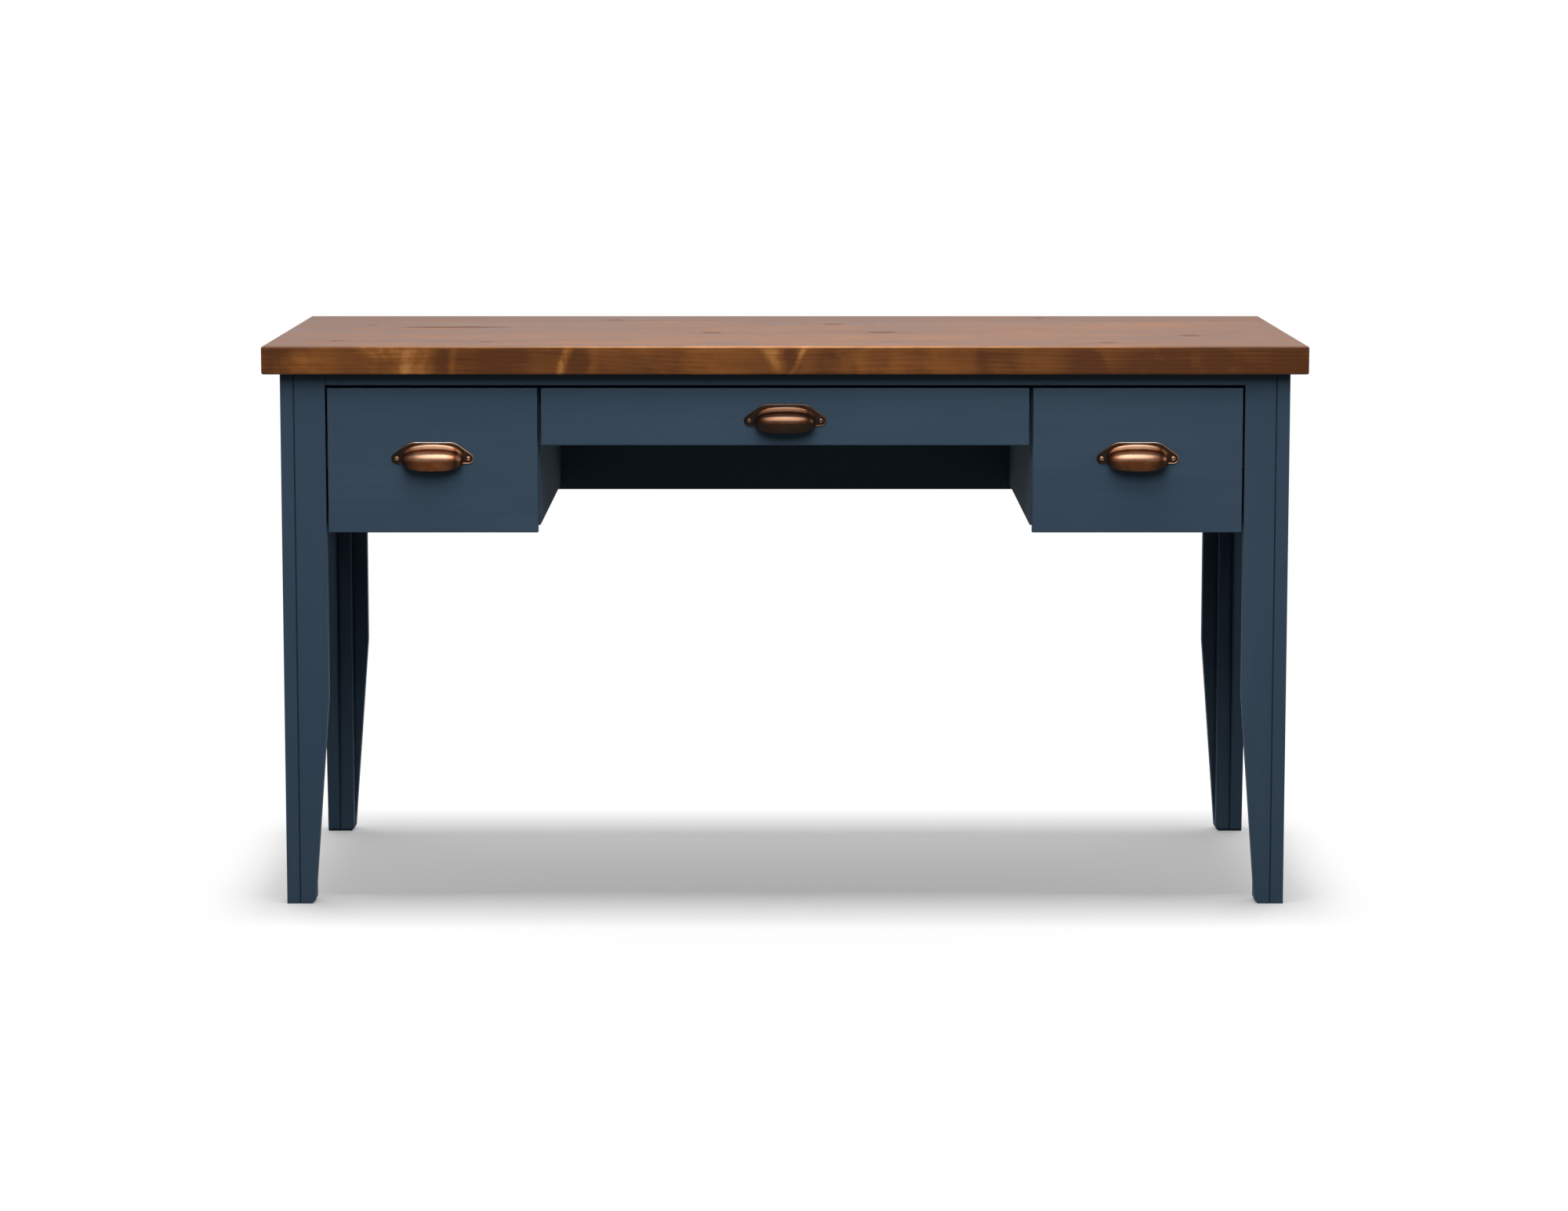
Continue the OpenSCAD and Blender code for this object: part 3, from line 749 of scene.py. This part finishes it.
def sink(bm, faces, place, floor, draw=1.0):
    """Presses faces down to a floor in local coordinates and draws them in by a share."""
    back = place.inverted()
    layer = rubbed_and_lit_layer(bm)
    made = bmesh.ops.extrude_face_region(bm, geom=faces)["geom"]
    bmesh.ops.delete(bm, geom=faces, context="FACES")
    for vert in (item for item in made if isinstance(item, bmesh.types.BMVert)):
        local = back @ vert.co
        vert.co = place @ Vector((local.x * draw, local.y * draw, min(local.z, floor)))
        vert[layer] = 0.0


def slotted_head(bm, place, radius, rise):
    """A domed screw head with a straight slot; its seat is at local height 0."""
    arc = [math.radians(step * 15) for step in range(7)]
    profile = [(0, 0), (radius, 0)]
    profile += [(radius * math.cos(a), rise * (0.25 + 0.75 * math.sin(a))) for a in arc[:-1]]
    profile.append((0, rise))
    marks = [0.1, 0.1, 0.4, 0.7, 0.9, 1, 1, 1, 1]
    steps = lathe(bm, profile, place, 28, marks)
    faces = [face for step in steps[2:] for face in step]
    half_slot = radius * 0.14
    for side in (-1, 1):
        faces = cut(bm, faces, place, (side * half_slot, 0, 0), (1, 0, 0))
    back = place.inverted()
    inner = [face for face in faces if abs((back @ face.calc_center_median()).x) < half_slot]
    sink(bm, inner, place, rise * 0.2)


def cross_recess(bm, faces, place, radius, floor):
    """Cuts a cross into the flat faces of a screw head and sinks it to a floor."""
    arm, half = radius * 0.55, radius * 0.13
    for direction in ((1, 0, 0), (0, 1, 0)):
        for reach in (-arm, -half, half, arm):
            point = Vector(direction) * reach
            faces = cut(bm, faces, place, point, direction)
    back = place.inverted()
    inner = []
    for face in faces:
        local = back @ face.calc_center_median()
        near, far = sorted((abs(local.x), abs(local.y)))
        if near < half and far < arm:
            inner.append(face)
    sink(bm, inner, place, floor, 0.55)


def wood_screw(bm, place, reach, head, depth, shank):
    """A countersunk wood screw: crossed head, shank and tapering thread down to a point."""
    profile = [(0, 0), (head * 0.93, 0), (head, -depth * 0.12), (shank, -depth), (shank, -reach * 0.35)]
    turns = max(3, int(reach * THREAD_SHARE / THREAD_PITCH))
    for turn in range(turns):
        top = -reach * (0.35 + THREAD_SHARE * turn / turns)
        width = shank * (1 - 0.35 * turn / turns)
        profile += [(width, top - 0.0003), (width * 0.72, top - 0.0008)]
    profile.append((0, -reach))
    steps = lathe(bm, profile, place, 18)
    cross_recess(bm, steps[0], place, head, -depth * 0.7)


def loose_solids(node):
    """The vertices of each separate solid of a CAD node."""
    bm = bmesh.new()
    bm.from_mesh(frame["nodes"][node].data)
    bmesh.ops.remove_doubles(bm, verts=bm.verts, dist=1e-6)
    found, solids = set(), []
    for start in bm.verts:
        if start in found:
            continue
        found.add(start)
        solid = [start]
        # The list grows while the loop follows the edges out from its vertices
        for vert in solid:
            near = [edge.other_vert(vert) for edge in vert.link_edges]
            solid += [other for other in near if other not in found]
            found.update(near)
        solids.append([vert.co.copy() for vert in solid])
    bm.free()
    return solids


def screw_place(points):
    """Where a CAD screw lies: a matrix with local Z out of its head, its length and head radius."""
    low = Vector(min(p[axis] for p in points) for axis in range(3))
    high = Vector(max(p[axis] for p in points) for axis in range(3))
    middle = (low + high) / 2
    size = high - low
    axis = max(range(3), key=lambda turn: size[turn])
    unit = Vector(1.0 if turn == axis else 0.0 for turn in range(3))

    def girth(end):
        close = [p for p in points if abs(p[axis] - end) < size[axis] * 0.03]
        return max((p - middle - (p[axis] - middle[axis]) * unit).length for p in close)

    out = 1 if girth(high[axis]) > girth(low[axis]) else -1
    face = middle + unit * (out * size[axis] / 2)
    place = Matrix.Translation(face) @ (unit * out).to_track_quat("Z", "Y").to_matrix().to_4x4()
    return place, size[axis], max(girth(high[axis]), girth(low[axis]))


# Cup pulls

def bell(value, middle, width):
    """1 at the middle, and a round fall to 0 on both sides of it."""
    return math.exp(-((value - middle) / width) ** 2)


class CupShape:
    """Measures of one pull: X from its middle, Z from its screws and reach from the drawer front."""

    def __init__(self, node, screws, settings):
        low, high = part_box(node)
        self.settings = settings
        self.middle = (low.x + high.x) / 2
        self.face = high.y
        self.axis = (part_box(screws)[0].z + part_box(screws)[1].z) / 2
        self.half_pitch = (high.x - low.x) / 2 - settings.ear
        self.reach = high.y - low.y
        self.rise = high.z - self.axis
        self.drop = self.axis - low.z

    def point(self, x, z, reach):
        return Vector((self.middle + x, self.face - reach, self.axis + z))

    def plate_outline(self, inset):
        """The backplate's outline: two round ears joined by a flat arch above and a line below."""
        ear, crown = self.settings.ear - inset, self.settings.shoulder - inset
        arch = Vector((self.half_pitch * 0.46, self.rise - self.settings.shoulder))
        away = Vector((self.half_pitch, 0)) - arch
        slope = math.atan2(away.y, away.x) + math.acos((crown - ear) / away.length)
        right = [(arch, crown, math.pi / 2 + (slope - math.pi / 2) * turn / 8) for turn in range(9)]
        ear_middle = Vector((self.half_pitch, 0))
        right += [(ear_middle, ear, slope - (slope + math.pi / 2) * turn / 16) for turn in range(17)]
        half = [middle + Vector((math.cos(a), math.sin(a))) * size for middle, size, a in right]
        return half + [Vector((-x, z)) for x, z in reversed(half)]

    def section(self):
        """(z, reach, rubbed) down the middle of the pressing: step, crease, crown and lip. The rubbed
        marks also paint highlights on the step and the crown, light in the crease and shade towards the
        lip.
        """
        plate, step, high = self.settings.plate, self.settings.step, self.settings.step_reach
        top = self.rise - 2.6 * self.settings.bead
        crease = top - step
        points = [(top, 0.0, 0.0), (top, plate * 0.8, 0.05)]
        for turn in range(1, 7):
            angle = math.radians(15 * turn)
            z = top - step * 0.42 * (1 - math.cos(angle))
            # The bright step band is partly a painted highlight
            mark = 1.08 if turn in (2, 3, 4) else 0.80
            points.append((z, plate + (high * 0.86 - plate) * math.sin(angle), mark))
        # The crease marks are set above a dark groove's: painted light in the crease
        points += [
            (crease + step * 0.34, high * 0.97, 0.70),
            (crease + step * 0.14, high, 0.25),
            (crease, high * 0.94, 0.45),
            (crease - 0.0004, high * 1.06, 0.60),
        ]
        crown = -0.06 * self.drop
        start = crease - 0.0005
        for turn in range(1, 15):
            angle = math.radians(90 * turn / 14)
            z = crown + (start - crown) * math.cos(angle) ** 0.85
            reach = high * 1.1 + (self.reach - high * 1.1) * math.sin(angle)
            # The brightest marks lie where the lamp's reflection shows on the crown: a painted highlight
            # over the rubbed crown
            points.append((z, reach, 0.36 + 0.64 * bell(angle, 0.98, 0.8)))
        for turn in range(1, 8):
            share = turn / 7
            z = crown - (self.drop - 0.0012 + crown) * share
            # Darker towards the lip: painted shade
            points.append((z, self.reach - 0.0018 * share ** 2, 0.38 - 0.14 * share))
        return points

    def inner(self, points):
        """The same section moved inwards by the wall, and never behind the mounting face."""
        wall = self.settings.wall
        moved = []
        for index, (z, reach, _) in enumerate(points):
            before = points[max(index - 1, 0)]
            after = points[min(index + 1, len(points) - 1)]
            along = Vector((before[0] - after[0], after[1] - before[1]))
            along.normalize()
            moved.append((z - along.y * wall, max(reach - max(along.x, 0.25) * wall, 0.0), 0.0))
        moved[-1] = (points[-1][0], moved[-1][1], 0.0)
        return moved


def cup(bm, shape, patina):
    """The pressing as one closed shell: a loaf whose section shrinks to a point at each end."""
    layer = rubbed_and_lit_layer(bm)
    outer = shape.section()
    waist = -0.16 * shape.drop
    turns = 40
    sheets = []
    for section, half in ((outer, shape.settings.cup), (shape.inner(outer), shape.settings.cup * 0.975)):
        ends = [bm.verts.new(shape.point(side * half, waist, 0)) for side in (-1, 1)]
        sheet = []
        for z, reach, mark in section:
            row = [ends[0]]
            for turn in range(1, turns):
                angle = math.pi * (turn / turns - 0.5)
                share = math.cos(angle) ** 0.72
                x = half * math.copysign(abs(math.sin(angle)) ** 0.80, angle)
                vert = bm.verts.new(shape.point(x, waist + (z - waist) * share, reach * share))
                # Bright in the middle and dark towards the ends, which is partly wear and partly painted
                # highlight and shade, with a painted dark reflection and a painted bright reflection
                # towards the right end
                polish_and_light = 0.08 + 0.92 * share ** 2.2 - 0.35 * bell(angle, 0.78, 0.11)
                polish_and_light += 0.50 * bell(angle, 1.06, 0.15)
                # A pull with patina is painted darker towards its lip: painted shade
                if z < 0:
                    polish_and_light *= 1 + 0.8 * patina * z / shape.drop
                vert[layer] = (mark * polish_and_light) ** (1 + patina)
                row.append(vert)
            sheet.append(row + [ends[1]])
        sheets.append(sheet)
    for sheet in sheets:
        for low, high in zip(sheet, sheet[1:]):
            skin(bm, low, high, closed=False)
    front, back = sheets
    for end in (0, -1):
        skin(bm, front[end], back[end], closed=False)


def backplate(bm, shape, patina):
    """A flat plate with a raised bead round it, which swells into an ear at each end."""
    layer = rubbed_and_lit_layer(bm)
    plate, bead = shape.settings.plate, shape.settings.bead
    profile = [(0.0, 0.0, 0.0), (0.0, plate * 0.7, 0.2)]
    for turn in range(7):
        angle = math.radians(30 * turn)
        height = plate * 0.7 + bead * 1.25 * math.sin(angle)
        # The bead's crest is marked brightest: worn plating with a painted highlight on it
        profile.append((bead * (1 - math.cos(angle)) + 0.00005, height, 1.5 * math.sin(angle)))
    profile.append((bead * 2.3, plate * 0.75, 0.22))
    rows = []
    for inset, height, mark in profile:
        row = [bm.verts.new(shape.point(x, z, height)) for x, z in shape.plate_outline(inset)]
        for vert in row:
            # The plate is darker towards its ears, most of all the left one: painted shade
            off = (vert.co.x - shape.middle) / shape.half_pitch
            fade = (0.94 if off < 0 else 0.30) * min(max((abs(off) - 0.45) / 0.35, 0), 1)
            vert[layer] = mark * (1 - patina * 0.5) * (1 - fade)
        rows.append(row)
    for low, high in zip(rows, rows[1:]):
        skin(bm, low, high)
    bm.faces.new(rows[0])
    bm.faces.new(rows[-1])


def ear_place(shape, side):
    """Where a screw head sits on an ear: local Z points away from the drawer front."""
    seat = shape.point(side * shape.half_pitch, 0, shape.settings.plate * 0.75)
    return Matrix.Translation(seat) @ Matrix.Rotation(math.radians(90), 4, "X")


# Operators, one for each piece or group of like pieces

class DeskOperator:
    """What the desk's operators share."""

    bl_options = {"REGISTER", "UNDO"}


class DESK_OT_stain_top(DeskOperator, bpy.types.Operator):
    """Stains and lacquers the five boards of the top"""

    bl_idname = "desk.stain_top"
    bl_label = "Stain the top"

    def execute(self, context):
        dress(BOARDS, stained_pine(context.scene.desk_top))
        return {"FINISHED"}


class DESK_OT_paint_frame(DeskOperator, bpy.types.Operator):
    """Paints the legs, aprons, dividers, rail and bay floors blue"""

    bl_idname = "desk.paint_frame"
    bl_label = "Paint the frame"

    def execute(self, context):
        settings = context.scene.desk_paint
        upright = [f"{corner}_leg_{board}_board" for corner in CORNERS for board in ("face", "side")]
        upright.append("leg_corner_blocks")
        long = ["front_rail", "back_apron", "left_bay_floor", "right_bay_floor"]
        deep = ["left_side_apron", "right_side_apron", "left_divider", "right_divider"]
        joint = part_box("front_right_leg_side_board")[0].x
        for names, grain in ((upright, "Z"), (long, "X"), (deep, "Y")):
            dress(names, blue_paint(settings, grain, joint if grain == "Z" else None))
            ease_edges(names, settings.arris)
        return {"FINISHED"}


class DESK_OT_paint_fronts(DeskOperator, bpy.types.Operator):
    """Paints the three drawer fronts"""

    bl_idname = "desk.paint_fronts"
    bl_label = "Paint the drawer fronts"

    def execute(self, context):
        settings = context.scene.desk_paint
        names = [f"{side}_drawer_front" for side in SIDES]
        paint = blue_paint(settings, "X")
        paint.name = "blue_paint_fronts"
        dress(names, paint)
        ease_edges(names, settings.arris)
        return {"FINISHED"}


class DESK_OT_finish_boxes(DeskOperator, bpy.types.Operator):
    """Lacquers the birch boxes of the drawers and leaves the beech dowels bare"""

    bl_idname = "desk.finish_boxes"
    bl_label = "Finish the drawer boxes"

    def execute(self, context):
        settings = context.scene.desk_timber
        runs = ("birch_side", "Y", ("left_side", "right_side")), ("birch_back", "X", ("back", "bottom"))
        for name, grain, parts in runs:
            birch = plain_timber(name, settings.birch, settings.birch_ring, grain, 0.008, roughness=0.45)
            dress([f"{side}_drawer_{part}" for side in SIDES for part in parts], birch)
        beech = plain_timber("beech_dowel", settings.beech, settings.beech_ring, "Z", 0.004)
        dress(["dowels"], beech)
        return {"FINISHED"}


class DESK_OT_finish_packing(DeskOperator, bpy.types.Operator):
    """Leaves the cleats and runner packers as bare planed pine"""

    bl_idname = "desk.finish_packing"
    bl_label = "Finish the cleats and packers"

    def execute(self, context):
        settings = context.scene.desk_timber
        bare = plain_timber("bare_pine", settings.pine, settings.pine_ring, "X", 0.005, roughness=0.7)
        dress(["top_cleats", "runner_packers"], bare)
        return {"FINISHED"}


class DESK_OT_finish_runners(DeskOperator, bpy.types.Operator):
    """Plates the runners with zinc and polishes the balls in their cages"""

    bl_idname = "desk.finish_runners"
    bl_label = "Finish the runners"

    def execute(self, context):
        settings = context.scene.desk_steel
        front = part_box("centre_drawer_case_runners")[0].y
        # The black end of the fixed runners is painted shade in the gaps round the drawer fronts
        buffer = front + settings.buffer
        fixed = zinc("zinc_fixed_sheet", settings.sheet, roughness=0.40, buffer=buffer)
        plate = zinc("zinc_sheet", settings.sheet, roughness=0.40)
        balls = zinc("ball_steel", settings.ball, roughness=0.18)
        for side in SIDES:
            dress([f"{side}_drawer_case_runners"], fixed)
            dress([f"{side}_drawer_box_runners"], plate)
            dress([f"{side}_drawer_ball_cages"], balls)
        return {"FINISHED"}


class DESK_OT_make_pulls(DeskOperator, bpy.types.Operator):
    """Presses the three cup pulls and ages their copper plate"""

    bl_idname = "desk.make_pulls"
    bl_label = "Make the cup pulls"

    def execute(self, context):
        settings = context.scene.desk_pull
        for side in SIDES:
            copper = aged_copper(f"{side}_copper", settings, PATINA_AND_SHADE[side])
            node, screws = f"{side}_drawer_cup_pull", f"{side}_drawer_pull_screws"
            shape = CupShape(node, screws, settings)
            bm = bmesh.new()
            cup(bm, shape, PATINA_AND_SHADE[side])
            backplate(bm, shape, PATINA_AND_SHADE[side])
            stand_in(f"{side}_pull", bm, copper, node, sharp=60)
            bm = bmesh.new()
            for hand in (-1, 1):
                # Screws that are driven by hand stop at different angles
                turned = ear_place(shape, hand) @ Matrix.Rotation(math.radians(35 + 50 * hand), 4, "Z")
                slotted_head(bm, turned, settings.screw, rise=settings.screw * 0.7)
            stand_in(f"{side}_pull_screw_heads", bm, copper, screws)
        return {"FINISHED"}


class DESK_OT_make_screws(DeskOperator, bpy.types.Operator):
    """Drives the crossed screws that hold the top and the runners"""

    bl_idname = "desk.make_screws"
    bl_label = "Make the wood screws"

    def execute(self, context):
        steel = zinc("zinc_screw", context.scene.desk_steel.screw, roughness=0.30, grain="Z")
        names = ["top_screws", "case_runner_screws"]
        names += [f"{side}_drawer_box_runner_screws" for side in SIDES]
        for node in names:
            bm = bmesh.new()
            for points in loose_solids(node):
                place, reach, head = screw_place(points)
                wood_screw(bm, place, reach, head, depth=head * 0.75, shank=head * 0.5)
            stand_in(f"{node}_crossed", bm, steel, node)
        return {"FINISHED"}


class DESK_OT_set_stage(DeskOperator, bpy.types.Operator):
    """Sets up the camera, the floor, the soft lamps and the white surround"""

    bl_idname = "desk.set_stage"
    bl_label = "Set the stage"

    def execute(self, context):
        settings = context.scene.desk_stage
        scene = context.scene
        scene.view_settings.view_transform = "Standard"
        lens = bpy.data.cameras.new("camera")
        lens.lens = settings.lens
        lens.shift_y = settings.rise
        lens.clip_end = 200
        camera = bpy.data.objects.new("camera", lens)
        camera.location = (CAMERA_ASIDE, -settings.distance, settings.height)
        camera.rotation_euler = (math.radians(90) - settings.down, 0, 0)
        scene.collection.objects.link(camera)
        scene.camera = camera
        # Only the overhead lamp lights the floor, so that it holds one soft shadow
        spared = bpy.data.collections.new("lit_from_above_alone")
        spared.objects.link(self.floor(scene))
        spared.collection_objects[0].light_linking.link_state = "EXCLUDE"
        for name, watts, *shape in SOFT_BOXES:
            lamp = self.soft_box(scene, name, getattr(settings, watts), *shape)
            lamp.visible_glossy = name in SEEN_IN_GLOSS
            if name != "overhead_lamp":
                lamp.light_linking.receiver_collection = spared
        self.surround(scene, settings.room)
        return {"FINISHED"}

    @staticmethod
    def soft_box(scene, name, watts, size, rise, turn, away):
        """A rectangular lamp that hangs rise degrees high and turn degrees round to the right."""
        light = bpy.data.lights.new(name, "AREA")
        light.energy = watts
        light.shape = "RECTANGLE"
        light.size, light.size_y = size
        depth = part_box("centre_drawer_front")[0].y if rise < STEEP else 0
        up, round_right = math.radians(rise), math.radians(turn)
        level = math.cos(up)
        way = Vector((level * math.sin(round_right), -level * math.cos(round_right), math.sin(up)))
        lamp = bpy.data.objects.new(name, light)
        lamp.location = Vector((0, depth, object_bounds()[1][2] * 0.75)) + way * away
        lamp.rotation_euler = way.to_track_quat("Z", "Y").to_euler()
        scene.collection.objects.link(lamp)
        return lamp

    @staticmethod
    def floor(scene):
        """A pale floor that holds the desk's shadow and is white further off."""
        material, tree = new_material("studio_floor")
        seen, mirrored = seen_rays(tree)
        point = tree.place()
        x, y = point[:2]
        speck = tree.noise(point, (3, 3, 3), 2)
        pale = tree.blend(speck, (0.94, 0.94, 0.94), (0.96, 0.96, 0.96))
        matt = tree.node("BsdfDiffuse", {}, Color=pale)
        glow = tree.node("Emission", {}, Color=(1, 1, 1), Strength=0.22)
        lit = tree.node("AddShader", {}, matt, glow)
        darker = mirrored * tree.smooth((x * x + y * y) ** 0.5, 1.2, 3.0) * 0.75
        white = tree.node("Emission", {}, Color=tree.blend(darker, (1, 1, 1), (0, 0, 0)), Strength=1.0)
        away = tree.smooth((x * x * 0.4 + y * y) ** 0.5, 0.75, 1.25)
        away = away.math("MAXIMUM", tree.smooth(abs(x), 0.60, 0.86))
        plain = tree.node("MixShader", {}, away, lit, white)
        dim = tree.node("BsdfDiffuse", {}, Color=(0.14, 0.14, 0.14))
        upper = tree.node("MixShader", {}, seen, dim, plain)
        from_below = tree.node("NewGeometry")["Backfacing"]
        clear = tree.node("BsdfTransparent")
        tree.node("OutputMaterial", {}, Surface=tree.node("MixShader", {}, from_below, upper, clear))
        bm = bmesh.new()
        bmesh.ops.create_grid(bm, x_segments=8, y_segments=8, size=60)
        mesh = bpy.data.meshes.new("floor")
        bm.to_mesh(mesh)
        bm.free()
        mesh.materials.append(material)
        floor = bpy.data.objects.new("floor", mesh)
        scene.collection.objects.link(floor)
        floor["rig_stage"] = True
        return floor

    @staticmethod
    def surround(scene, room):
        """White to the eye; it lights the desk from the wall behind it and a little from the sides."""
        world = bpy.data.worlds.new("studio")
        scene.world = world
        tree = Tree(world)
        seen, mirrored = seen_rays(tree)
        toward = tree.split("TexCoord", "Generated")
        darker = mirrored * (1 - tree.smooth(toward["Y"], -0.1, 0.5)) * 0.75
        walls = tree.smooth(toward["Y"], -0.2, 0.9) * 0.9 + 0.1
        walls = walls + tree.smooth(abs(toward["X"]), 0.4, 0.9) * 0.15
        walls = tree.blend(walls, (0, 0, 0), (1, 1, 1))
        dim = tree.node("Background", {}, Color=walls, Strength=room)
        white = tree.node("Background", {}, Color=tree.blend(darker, (1, 1, 1), (0, 0, 0)), Strength=1.0)
        tree.node("OutputWorld", {}, Surface=tree.node("MixShader", {}, seen, dim, white))


class DESK_PT_finishes(bpy.types.Panel):
    """Lists the desk's finishes in the order in which they are laid on"""

    bl_idname = "DESK_PT_finishes"
    bl_label = "Writing desk"
    bl_space_type = "VIEW_3D"
    bl_region_type = "UI"
    bl_category = "Desk"

    def draw(self, context):
        for operator in OPERATORS:
            self.layout.operator(operator.bl_idname)
        for name in SETTINGS:
            for setting in SETTINGS[name].__annotations__:
                self.layout.prop(getattr(context.scene, name), setting)


SETTINGS = {
    "desk_top": DeskTopSettings,
    "desk_paint": DeskPaintSettings,
    "desk_timber": DeskTimberSettings,
    "desk_steel": DeskSteelSettings,
    "desk_pull": DeskPullSettings,
    "desk_stage": DeskStageSettings,
}
OPERATORS = (
    DESK_OT_make_screws,
    DESK_OT_make_pulls,
    DESK_OT_stain_top,
    DESK_OT_paint_frame,
    DESK_OT_paint_fronts,
    DESK_OT_finish_boxes,
    DESK_OT_finish_packing,
    DESK_OT_finish_runners,
    DESK_OT_set_stage,
)
CLASSES = (*SETTINGS.values(), *OPERATORS, DESK_PT_finishes)


def register():
    for kind in CLASSES:
        bpy.utils.register_class(kind)
    for name, kind in SETTINGS.items():
        setattr(bpy.types.Scene, name, bpy.props.PointerProperty(type=kind))


def unregister():
    for name in SETTINGS:
        delattr(bpy.types.Scene, name)
    for kind in reversed(CLASSES):
        bpy.utils.unregister_class(kind)


def main():
    register()
    bpy.ops.desk.make_screws()
    bpy.ops.desk.make_pulls()
    bpy.ops.desk.stain_top()
    bpy.ops.desk.paint_frame()
    bpy.ops.desk.paint_fronts()
    bpy.ops.desk.finish_boxes()
    bpy.ops.desk.finish_packing()
    bpy.ops.desk.finish_runners()
    bpy.ops.desk.set_stage()


if __name__ == "__main__":
    main()
